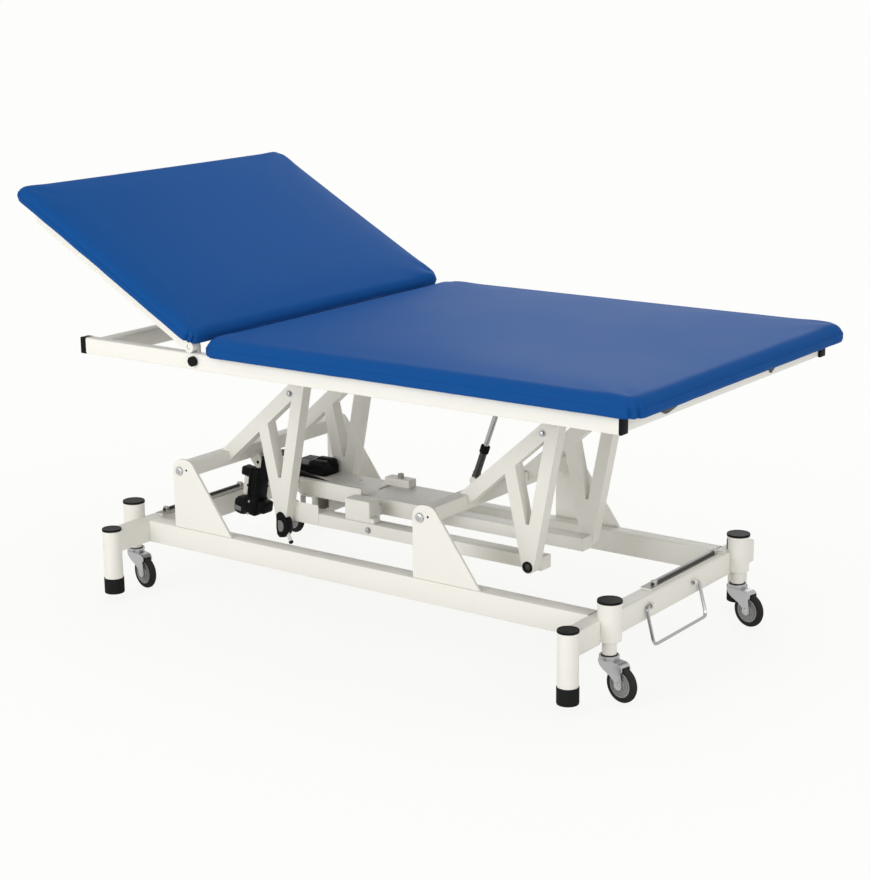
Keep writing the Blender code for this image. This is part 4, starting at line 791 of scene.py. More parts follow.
@dataclass
class CastorSet:
    """The four retractable castors: capped posts, plungers, forks and wheels.

    The race, legs and hood are outlines from the swivel's top: along the trail, and up.
    """

    wheel_r: float = 0.0464
    tyre_inner: float = 0.0322
    tyre_half: float = 0.0100
    rim_half: float = 0.0085
    web_half: float = 0.0055
    hub_r: float = 0.0140
    hub_half: float = 0.0108
    bore_r: float = 0.0045
    nut_r: float = 0.0075
    nut_h: float = 0.0028
    ring_r: float = 0.0205
    ring_h: float = 0.0014
    leg_in: float = 0.0128
    leg_t: float = 0.0030
    eye_r: float = 0.0125
    eye_turns: tuple = (25, 0, -30, -60, -90, -120, -150, -180, -205)
    hood_inset: float = 0.0004
    tread_steps: tuple = (-1.0, -0.93, -0.8, -0.6, -0.35, 0.0, 0.35, 0.6, 0.8, 0.93, 1.0)
    race: Profile = ((0, -0.0120), (0.0235, -0.0120), (0.0250, -0.0105), (0.0250, -0.0082),
                     (0.0238, -0.0074), (0.0238, -0.0058), (0.0250, -0.0050), (0.0250, -0.0014),
                     (0.0236, 0), (0, 0))
    leg_front: Profile = ((-0.0220, -0.0115), (0.0400, -0.0115), (0.0500, -0.0150), (0.0545, -0.0210),
                          (0.0550, -0.0290), (0.0490, -0.0330))
    leg_rear: Profile = ((0.0150, -0.0470), (-0.0060, -0.0370), (-0.0180, -0.0280), (-0.0222, -0.0200))
    hood: Profile = ((-0.0222, -0.0200), (-0.0222, -0.0130), (-0.0205, -0.0112), (0.0400, -0.0112),
                     (0.0490, -0.0143), (0.0530, -0.0200), (0.0505, -0.0208), (0.0470, -0.0165),
                     (0.0390, -0.0137), (-0.0195, -0.0137), (-0.0200, -0.0200))

    def build(self) -> None:
        """Dresses each castor."""
        base = BaseFrame()
        for side, _ in SIDES:
            for end in ENDS:
                corner = f"{side}_{end}"
                Shop.skin(f"castor_post_{corner}")
                low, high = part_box(f"castor_post_{corner}")
                top = Vector(((low.x + high.x) / 2, (low.y + high.y) / 2, high.z))
                base.cap(f"castor_post_cap_{corner}", top, (high.x - low.x) / 2, "base")
                Shop.skin(f"castor_plunger_{corner}")
                self._ring(corner)
                self._fork(corner)
                self._wheel(corner)
                self._axle_heads(corner)

    def _ring(self, corner: str) -> None:
        """Sets the dark sealing ring at the foot of a plunger."""
        low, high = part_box(f"castor_plunger_{corner}")
        foot = Vector(((low.x + high.x) / 2, (low.y + high.y) / 2, low.z + 0.0001))
        inner, outer, tall = (high.x - low.x) / 2, self.ring_r, self.ring_h
        profile = [(inner, 0), (outer, 0), (outer, 0.0010), (outer - 0.0005, tall), (inner, tall)]
        Shop.turned(f"castor_ring_{corner}", profile, foot, UP, BLACK_PLASTIC, 40, f"castor_stem_{corner}")

    def _fork(self, corner: str) -> None:
        """Makes a swivel race and a pressed fork that hoods the wheel."""
        body = f"castor_swivel_{corner}"
        top = pivot(f"castor_turn_{corner}")
        axle = pivot(f"castor_roll_{corner}") - top
        Shop.turned(f"castor_race_{corner}", self.race, top, UP, ZINC_PLATE, 48, body)
        eye = arc(math.hypot(axle.x, axle.y), axle.z, self.eye_r, self.eye_turns)
        outline = [*self.leg_front, *eye, *self.leg_rear]
        turn = Matrix.Translation(top) @ Matrix.Rotation(math.atan2(axle.y, axle.x), 4, "Z")
        for name, depth in (("left", self.leg_in), ("right", -self.leg_in - self.leg_t)):
            nodes = (f"castor_fork_{corner}",) if name == "left" else ()
            place = turn @ upright(depth + self.leg_t)
            Shop.prism(f"castor_fork_{name}_{corner}", outline, self.leg_t, place, ZINC_PLATE, 0.0009, body,
                       *nodes)
        half = self.leg_in + self.leg_t - self.hood_inset
        Shop.prism(f"castor_hood_{corner}", self.hood, 2 * half, turn @ upright(half), ZINC_PLATE, 0.0, body)

    def _wheel(self, corner: str) -> None:
        """Makes a wheel: a round-shouldered tyre on a moulded centre."""
        joint = f"castor_roll_{corner}"
        centre, axle = pivot(joint), direction(joint)
        body = f"castor_wheel_body_{corner}"
        half, inner, outer = self.tyre_half, self.tyre_inner, self.wheel_r - 0.0005
        tread = [(outer - 0.0075 * (abs(t) ** 2.6), t * half) for t in self.tread_steps]
        side = [(outer - 0.0100, half), (inner + 0.0016, half), (inner, half - 0.0010)]
        tyre = tread + side + [(radius, -height) for radius, height in reversed(side)]
        Shop.turned(f"castor_tyre_{corner}", tyre, centre, axle, TYRE_RUBBER, 64, body,
                    f"castor_wheel_{corner}")
        rim, web, boss, tall = self.rim_half, self.web_half, self.hub_r, self.hub_half
        groove = boss + 0.0060
        face = [(self.bore_r, tall), (boss - 0.001, tall), (boss, tall - 0.001), (boss + 0.001, web),
                (groove, web), (groove + 0.0004, web + 0.0018), (groove + 0.0030, web + 0.0018),
                (groove + 0.0034, web), (inner - 0.0055, web), (inner - 0.0040, rim), (inner - 0.0004, rim)]
        hub = face + [(radius, -height) for radius, height in reversed(face)]
        Shop.turned(f"castor_wheel_centre_{corner}", hub, centre, axle, HUB_GREY, 56, body)

    def _axle_heads(self, corner: str) -> None:
        """Sets a low riveted head on each end of the axle, outside the fork."""
        joint = f"castor_roll_{corner}"
        centre, axle = pivot(joint), direction(joint)
        for name, sign in (("left", -1), ("right", 1)):
            point = centre + axle * sign * (self.leg_in + self.leg_t - PROUD)
            FASTENERS.dome(f"castor_axle_{name}_{corner}", point, axle * sign, self.nut_r, self.nut_h,
                           f"castor_swivel_{corner}", ZINC_PLATE)


@dataclass
class CastorLift:
    """The bail, and the shafts on their strips, that work the castors."""

    strip_in: float = 0.0210
    strip_out: float = 0.0105
    strip_half: float = 0.1900
    strip_z: float = 0.2051
    strip_t: float = 0.0006
    block_at: float = 0.1580
    block_half: tuple = (0.0078, 0.0058)
    block_top: float = 0.2180
    slot_low: float = 0.2060
    slot_high: float = 0.2330
    slot_start: float = 190.0
    slot_step: float = 4.0
    slot_points: int = 11

    def build(self) -> None:
        """Dresses the bail, the shafts, their strips and the painted shade of the slot in the far foot post.
        """
        Shop.skin("wire_bail")
        half_x, half_y = self.block_half
        for end, inward in zip(ENDS, (1, -1)):
            node = f"castor_shaft_{end}"
            Shop.skin(node)
            low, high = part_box(node)
            middle = (low + high) / 2
            xs = sorted((middle.x + inward * self.strip_in, middle.x - inward * self.strip_out))
            Shop.fit(f"castor_shaft_strip_{end}", (xs[0], middle.y - self.strip_half, self.strip_z),
                     (xs[1], middle.y + self.strip_half, self.strip_z + self.strip_t), SATIN_STEEL, 0.0001,
                     "base", steps=1)
            for name, sign in SIDES:
                y = middle.y + sign * self.block_at
                Shop.fit(f"castor_shaft_bearing_{end}_{name}", (middle.x - half_x, y - half_y, self.strip_z),
                         (middle.x + half_x, y + half_y, self.block_top), SATIN_STEEL, 0.0035, "base")
        self._slot()

    def _slot(self) -> None:
        """Sets a thin black sheet of painted shade for the slot in the side of the far foot castor post."""
        low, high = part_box("castor_post_far_foot")
        centre = (low + high) / 2
        outer = (high.x - low.x) / 2 + PROUD / 2
        inner = outer - PROUD
        shape = bmesh.new()
        turns = [self.slot_start + self.slot_step * step for step in range(self.slot_points)]
        corners = ((outer, self.slot_low), (outer, self.slot_high), (inner, self.slot_high),
                   (inner, self.slot_low))
        rows = [[shape.verts.new((x, y, z)) for x, y in arc(centre.x, centre.y, radius, turns)]
                for radius, z in corners]
        for row, following in zip(rows, rows[1:] + rows[:1]):
            for quad in zip(row, following, following[1:], row[1:]):
                shape.faces.new(quad)
        for column in (0, -1):
            shape.faces.new([row[column] for row in rows])
        # the sheet's black is painted shade; no opening is cut in the post
        Shop.mount(Shop.piece("castor_post_slot", shape, PAINTED_HOLE_SHADE), "base")


@dataclass
class LiftLinkage:
    """Torsion tubes and V-braced levers, with their bushes, bolts and the shackle."""

    edge: float = 0.0030
    bush_r: float = 0.0150
    bush_hole: float = 0.0085
    bush_t: float = 0.0030
    bolt_r: float = 0.0065
    tie_offset: Vector = field(default_factory=lambda: Vector((0.205, 0, -0.142)))
    bolt_offset: Vector = field(default_factory=lambda: Vector((0.249, 0, 0.214)))
    shackle: Profile = ((-0.0120, 0.0080), (0.0130, 0.0080), (0.0250, -0.0060), (0.0290, -0.0260),
                        (0.0250, -0.0440), (0.0150, -0.0550), (-0.0020, -0.0580), (-0.0110, -0.0500),
                        (-0.0135, -0.0300))
    shackle_middle: float = -0.0240     # height that the core shrinks towards
    stick_at: tuple = (0.0180, 0.0030, -0.0370)
    stick_axis: tuple = (-0.45, 0, 1)
    stick: Profile = ((0, 0), (0.0054, 0), (0.0050, -0.0300), (0, -0.0300))
    tip: Profile = ((0, -0.0295), (0.0046, -0.0295), (0.0064, -0.0310), (0.0064, -0.0360),
                    (0.0040, -0.0384), (0, -0.0390))

    def build(self) -> None:
        """Dresses both lever groups."""
        for end in ENDS:
            Shop.skin(f"torsion_tube_{end}")
            for side, sign in SIDES:
                node = f"lever_{side}_{end}"
                Shop.skin(node, edge=self.edge)
                low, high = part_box(node)
                for face, y, normal_y in (("low", low.y, -1), ("high", high.y, 1)):
                    self._bush(f"{node}_{face}", end, y, normal_y)
                outer = low.y if sign < 0 else high.y
                centre = pivot(f"lift_{end}_pivot") + self.bolt_offset
                FASTENERS.bolt(f"{node}_bolt", Vector((centre.x, outer, centre.z)), Vector((0, sign, 0)),
                               self.bolt_r, f"lift_{end}")
        self._shackle()

    def _bush(self, name: str, end: str, y: float, normal_y: int) -> None:
        """Sets the black bush of the lower pivot on one face of a lever."""
        centre = pivot(f"lift_{end}_pivot") + self.tie_offset
        body = f"lift_{end}"
        t = self.bush_t
        profile = [(self.bush_hole, -t), (self.bush_r, -t), (self.bush_r, 0.6 * t), (self.bush_r - 0.0008, t),
                   (self.bush_hole + 0.0008, t), (self.bush_hole, 0.6 * t)]
        point, normal = Vector((centre.x, y, centre.z)), Vector((0, normal_y, 0))
        Shop.turned(f"{name}_bush", profile, point, normal, BLACK_PLASTIC, 40, body)
        FASTENERS.dome(f"{name}_pin", point, normal, self.bush_hole - PROUD, 0.6 * t, body, DARK_STEEL)

    def _shackle(self) -> None:
        """Hangs the black shackle, with its stick, at the foot of the near head lever."""
        foot = pivot("lift_head_pivot") + self.tie_offset
        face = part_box("lever_near_head")[0].y
        middle = self.shackle_middle
        for name, front, depth, finish, share in (("shell", face - 0.0062, 0.0240, BLACK_PLASTIC, 1.0),
                                                  ("core", face - 0.0072, 0.0030, GREY_PLASTIC, 0.50)):
            points = [(foot.x + share * x, foot.z + share * (z - middle) + middle) for x, z in self.shackle]
            Shop.prism(f"lever_shackle_{name}", points, depth, upright(front + depth), finish, 0.0016,
                       "lift_head")
        top = Vector((foot.x, face, foot.z)) + Vector(self.stick_at)
        axis = Vector(self.stick_axis)
        Shop.turned("lever_stop_stick", self.stick, top, axis, WHITE_PAINT, 24, "lift_head")
        Shop.turned("lever_stop_tip", self.tip, top, axis, BLACK_RUBBER, 24, "lift_head")


@dataclass
class TieFrame:
    """The frame between the levers' feet, with the anchor, the tray and the control box."""

    edge: float = 0.0008
    rail_in: float = 0.0770
    rail_out: float = 0.1250
    rail_low: float = 0.2040
    rail_high: float = 0.2400
    rail_end_x: tuple = (-0.0002, 0.0014)
    block_x: tuple = (-0.1841, -0.1001)
    block_depth: float = 0.0480
    block_top: float = 0.3003
    duct_y: tuple = (-0.0350, 0.1247)
    duct_top: float = 0.2863
    cheek_t: float = 0.0040
    cheek_y: tuple = (-0.0423, -0.0177)
    cheek_half: float = 0.0125
    cheek_turns: tuple = tuple(range(90, 271, 18))
    eye: tuple = (-0.2243, 0.2703)
    eye_pin: tuple = (0.0075, 0.0030)
    lid_split: float = 0.42
    shell_share: float = 0.62
    rib_pitch: float = 0.012
    rib_w: float = 0.004
    cover_x: tuple = (-0.3960, -0.1760)
    cover_y: tuple = (-0.0625, -0.0605)
    cover_z: tuple = (0.2640, 0.3130)
    lip_y: float = -0.0530
    lip_z: float = 0.3110
    bolt_x: float = -0.1045
    bolt_z: float = 0.2210
    bolt_r: float = 0.0062
    panel_x: tuple = (-0.3700, -0.2765)
    panel_z: tuple = (0.2090, 0.2640)
    panel_proud: float = 0.0016
    stub_x: tuple = (-0.2065, -0.1215)
    stub_y: tuple = (0.0850, 0.1200)
    stub_top: float = 0.3090
    peg_at: tuple = (-0.1605, 0.1000, 0.3088)
    peg: Profile = ((0, 0), (0.0085, 0), (0.0085, 0.0120), (0.0075, 0.0132), (0, 0.0132))
    screw_xs: tuple = (-0.4300, -0.2900)
    screw: tuple = (0.0048, 0.0024)

    def build(self) -> None:
        """Dresses the tie frame."""
        for node in ("tie_rail_near", "tie_rail_far", "tie_head_cross", "cover_tray"):
            Shop.skin(node, edge=self.edge)
        self._anchor()
        self._control_box()
        self._rails()
        self._tray()

    def _anchor(self) -> None:
        """Makes the folded block, the low duct behind it and the cheeks of the rod's eye."""
        base, front = self.rail_high + PROUD, -self.rail_out
        start, stop = self.block_x
        rear = front + self.block_depth
        Shop.fit("anchor_block", (start, front, base), (stop, rear, self.block_top), WHITE_PAINT, 0.0030,
                 "tie", "anchor_box")
        Shop.fit("anchor_step", (stop - 0.002, front + 0.0010, base),
                 (stop + 0.0150, front + 0.0300, base + 0.0140), WHITE_PAINT, 0.0030, "tie")
        Shop.fit("anchor_duct", (start, self.duct_y[0], base),
                 (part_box("anchor_box")[1].x, self.duct_y[1], self.duct_top), WHITE_PAINT, 0.0025, "tie")
        Shop.fit("anchor_bridge", (start + 0.006, rear - 0.004, base),
                 (start + 0.060, self.duct_y[0] + 0.004, base + 0.0300), WHITE_PAINT, 0.0020, "tie")
        x, z = self.eye
        half, thick = self.cheek_half, self.cheek_t
        outline = arc(x, z, half, self.cheek_turns) + [(start + 0.004, z - half), (start + 0.004, z + half)]
        for (name, out), y in zip(SIDES, self.cheek_y):
            outer = y + out * thick
            Shop.prism(f"anchor_cheek_{name}", outline, thick, upright(max(y, outer)), WHITE_PAINT, 0.0006,
                       "tie")
            FASTENERS.dome(f"anchor_cheek_pin_{name}", Vector((x, outer, z)), Vector((0, out, 0)),
                           *self.eye_pin, "tie", ZINC_PLATE)

    def _control_box(self) -> None:
        """Makes the control box: a black shell with a grey lid and two lobes."""
        low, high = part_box("control_box")
        split = low.x + self.lid_split * (high.x - low.x)
        lift = self.shell_share * (high.z - low.z)
        Shop.fit("control_box_shell", low, (high.x, high.y, low.z + lift), BLACK_PLASTIC, 0.0050, "tie",
                 "control_box")
        Shop.fit("control_box_lid", (low.x + 0.003, low.y + 0.003, low.z + 0.5 * lift),
                 (split, high.y - 0.003, high.z - 0.0040), GREY_PLASTIC, 0.0060, "tie")
        half = (high.y + low.y) / 2
        for name, y0, y1, drop in (("near", low.y, half + 0.004, 0.0030), ("far", half - 0.002, high.y, 0.0)):
            Shop.fit(f"control_box_lobe_{name}", (split - 0.002, y0, low.z + 0.3 * lift),
                     (high.x - drop, y1, high.z - drop), BLACK_PLASTIC, 0.0120, "tie", steps=4)
        for row in range(3):
            x = low.x + self.rib_pitch + self.rib_pitch * row
            Shop.fit(f"control_box_rib_{row}", (x, low.y + 0.012, high.z - 0.0048),
                     (x + self.rib_w, high.y - 0.012, high.z - 0.0030), BLACK_PLASTIC, 0.0008, "tie")

    def _rails(self) -> None:
        """Closes the rails' ends and sets the cover beside the rod, the bolt and the small panel."""
        end_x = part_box("tie_rail_near")[1].x
        for side, sign in SIDES:
            ys = sorted((sign * (self.rail_in + PROUD), sign * (self.rail_out - PROUD)))
            Shop.fit(f"tie_rail_end_{side}", (end_x + self.rail_end_x[0], ys[0], self.rail_low + PROUD),
                     (end_x + self.rail_end_x[1], ys[1], self.rail_high - PROUD), WHITE_PAINT, 0.0006, "tie")
        (x0, x1), (y0, y1), (z0, z1) = self.cover_x, self.cover_y, self.cover_z
        Shop.fit("rod_cover", (x0, y0, z0), (x1, y1, z1), WHITE_PAINT, self.edge, "tie")
        Shop.fit("rod_cover_lip", (x0, y0, self.lip_z), (x1, self.lip_y, z1), WHITE_PAINT, self.edge, "tie")
        face = -self.rail_out
        FASTENERS.bolt("tie_rail_bolt", Vector((self.bolt_x, face, self.bolt_z)), Vector((0, -1, 0)),
                       self.bolt_r, "tie")
        Shop.fit("tie_rail_panel", (self.panel_x[0], face - self.panel_proud, self.panel_z[0]),
                 (self.panel_x[1], face + PROUD, self.panel_z[1]), WHITE_PAINT, 0.0007, "tie")

    def _tray(self) -> None:
        """Sets the stub with its peg, and the screws, on the tray."""
        Shop.fit("tray_stub", (self.stub_x[0], self.stub_y[0], self.duct_top - 0.0005),
                 (self.stub_x[1], self.stub_y[1], self.stub_top), WHITE_PAINT, 0.0022, "tie")
        Shop.turned("tray_stub_peg", self.peg, Vector(self.peg_at), UP, SATIN_STEEL, 28, "tie")
        for row, x in enumerate(self.screw_xs):
            FASTENERS.dome(f"tray_screw_{row}", Vector((x, self.stub_y[0], self.duct_top)), UP, *self.screw,
                           "tie", ZINC_PLATE)


@dataclass
class LiftActuator:
    """The electric actuator that turns the head levers.

    Each block of the motor is its name, its low and high corners in the actuator's lean frame, the radius
    of its edges and its finish.
    """

    lean: float = math.atan2(0.0577, 0.3378)
    blocks: tuple = (
        ("column", (-0.0240, -0.0220, -0.1250), (0.0192, 0.0220, -0.0205), 0.0050, BLACK_PLASTIC),
        ("column_rail_a", (-0.0190, -0.0245, -0.1120), (-0.0120, -0.0215, -0.0240), 0.0010, BLACK_PLASTIC),
        ("column_rail_b", (0.0060, -0.0245, -0.1120), (0.0130, -0.0215, -0.0240), 0.0010, BLACK_PLASTIC),
        ("column_band", (-0.0252, -0.0232, -0.0800), (0.0190, 0.0232, -0.0740), 0.0010, BLACK_PLASTIC),
        ("side_box", (-0.0580, -0.0150, -0.0560), (-0.0235, 0.0190, -0.0300), 0.0050, BLACK_PLASTIC),
        ("side_panel", (-0.0500, -0.0060, -0.1130), (-0.0235, -0.0030, -0.0550), 0.0010, WHITE_PAINT),
        ("foot_block", (-0.0330, -0.0290, -0.1620), (0.0200, 0.0290, -0.1080), 0.0090, BLACK_PLASTIC),
        ("foot_lobe", (-0.0700, -0.0250, -0.1760), (-0.0240, 0.0250, -0.1240), 0.0160, BLACK_PLASTIC),
        ("foot_window", (-0.0600, -0.0262, -0.1620), (-0.0360, -0.0200, -0.1480), 0.0020, GREY_PLASTIC),
        ("foot_arm", (0.0160, -0.0230, -0.1480), (0.0460, 0.0230, -0.1130), 0.0080, BLACK_PLASTIC),
    )
    screw_at: tuple = (-0.0060, -0.0290)
    screw_zs: tuple = (-0.1200, -0.1580)
    screw: tuple = (0.0035, 0.0016)
    wiper_x: float = 0.2616
    wiper: Profile = ((0.0105, 0), (0.0170, 0), (0.0178, 0.0030), (0.0178, 0.0070), (0.0165, 0.0088),
                      (0.0105, 0.0088))

    def build(self) -> None:
        """Dresses the housing and the rod, and makes the motor of its own pieces."""
        Shop.skin("actuator_housing", edge=0.0012)
        Shop.skin("actuator_rod", edge=0.0006)
        place = Matrix.Translation(pivot("actuator_pivot")) @ Matrix.Rotation(self.lean, 4, "Y")
        for name, low, high, edge, finish in self.blocks:
            nodes = ("actuator_motor",) if name == "column" else ()
            Shop.fit(f"actuator_{name}", low, high, finish, edge, "actuator_body", *nodes, place=place)
        turn = place.to_3x3()
        for row, z in enumerate(self.screw_zs):
            FASTENERS.dome(f"actuator_screw_{row}", place @ Vector((*self.screw_at, z)),
                           turn @ Vector((0, -1, 0)), *self.screw, "actuator_body", ZINC_PLATE)
        Shop.turned("actuator_wiper", self.wiper, place @ Vector((self.wiper_x, 0, 0)),
                    turn @ Vector((1, 0, 0)), GREY_PLASTIC, 40, "actuator_body")


@dataclass
class GasStrut:
    """The gas strut beside the foot lever."""

    lean: float = math.atan(0.367)
    tube_r: float = 0.0095
    sleeve_r: float = 0.0062
    sleeve_end: float = 0.2086
    sleeve_wall: float = 0.0008
    collar_at: float = 0.1000
    collar_under: float = 0.0160
    collar_h: float = 0.0200
    collar_wall: float = 0.0030

    def build(self) -> None:
        """Dresses the strut, with a black collar and a bright sleeve round the rod."""
        Shop.skin("strut_cylinder", finish=DARK_STEEL)
        Shop.skin("strut_rod", finish=CHROME_PLATE)
        foot = pivot("strut_pivot")
        along = Vector((math.sin(self.lean), 0, math.cos(self.lean)))
        rings = (("collar", self.collar_at - self.collar_under, self.collar_h, self.tube_r, self.collar_wall,
                  BLACK_PLASTIC),
                 ("bright_sleeve", self.collar_at, self.sleeve_end - self.collar_at, self.sleeve_r,
                  self.sleeve_wall, CHROME_PLATE))
        for name, start, tall, inner, wall, finish in rings:
            bore, rim, soft = inner + PROUD / 2, inner + wall, 0.4 * wall
            profile = [(bore, 0), (rim - soft, 0), (rim, soft), (rim, tall - soft), (rim - soft, tall),
                       (bore, tall)]
            Shop.turned(f"strut_{name}", profile, foot + along * start, along, finish, 32, "strut_body")


@dataclass
class Deck:
    """Deck rails with their plugs, painted shade at their slots, clips, cross tubes and knobs."""

    plug_t: float = 0.0075
    cap_t: float = 0.0040
    cap_reach: float = 0.0170
    rail_w: float = 0.030
    rail_outer: float = 0.5206
    rail_low: float = 0.7064
    rail_high: float = 0.7498
    slits: tuple = ((-0.2540, -0.1900), (0.5030, 0.5560))
    clip_z: float = 0.7260
    clip_t: float = 0.0040
    clips: tuple = (("near", -0.3000, 0.0420), ("far", 0.2200, 0.0160))

    def build(self) -> None:
        """Dresses the deck."""
        for name in ("foot_rail", "head_rail", "cross_head", "cross_foot", "cross_strut"):
            Shop.skin(f"deck_{name}")
        for side, sign in SIDES:
            node = f"deck_side_rail_{side}"
            Shop.skin(node)
            Shop.skin(f"hinge_knob_{side}", edge=0.0006)
            low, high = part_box(node)
            for end, x, out in (("head", low.x, -1), ("foot", high.x, 1)):
                self._plug(f"deck_rail_plug_{side}_{end}", sign, x, out)
            for row, (start, stop) in enumerate(self.slits):
                self._slit(f"deck_rail_slit_{side}_{row}", sign, start, stop)
        self._clips()

    def _plug(self, name: str, sign: int, x: float, out: int) -> None:
        """Closes one end of a side rail: a plug at the foot, a cap over the tube at the head."""
        ys = sorted((sign * self.rail_outer, sign * (self.rail_outer - self.rail_w)))
        xs = (x + PROUD, x + self.plug_t) if out > 0 else (x - self.cap_t, x + self.cap_reach)
        Shop.fit(name, (xs[0], ys[0] - PROUD, self.rail_low - PROUD),
                 (xs[1], ys[1] + PROUD, self.rail_high + PROUD), BLACK_PLASTIC, 0.0018, "deck")

    def _slit(self, name: str, sign: int, start: float, stop: float) -> None:
        """Sets a thin black sheet of painted shade along the edge of a fixing slot under the mattress, on a
        rail's outer face.
        """
        face = sign * self.rail_outer
        shape = bmesh.new()
        outline = [(start, -0.0006), (start + 0.012, -0.0036), (stop - 0.004, -0.0036), (stop, -0.0012),
                   (stop, -0.0004)]
        front, rear = [[shape.verts.new((x, face + sign * proud, self.rail_high + z)) for x, z in outline]
                       for proud in (PROUD, -PROUD)]
        for quad in zip(front, rear, rear[1:] + rear[:1], front[1:] + front[:1]):
            shape.faces.new(quad)
        for row in (front, rear):
            shape.faces.new(row)
        # the strip's black is painted shade of the gap; no slot is cut in the rail
        Shop.mount(Shop.piece(name, shape, PAINTED_HOLE_SHADE), "deck")

    def _clips(self) -> None:
        """Sets the two bent metal clips on the foot rail's outer face."""
        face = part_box("deck_foot_rail")[1].x
        place = Matrix(((0, 0, 1, face), (1, 0, 0, 0), (0, 1, 0, self.clip_z), (0, 0, 0, 1)))
        for name, y, half in self.clips:
            outline = [(y - half, 0.0), (y + half, 0.0), (y + 0.9 * half, -0.0030), (y - 0.1 * half, -0.0110),
                       (y - 0.4 * half, -0.0105)]
            Shop.prism(f"mattress_clip_{name}", outline, self.clip_t, place, DARK_STEEL, 0.0007, "deck")


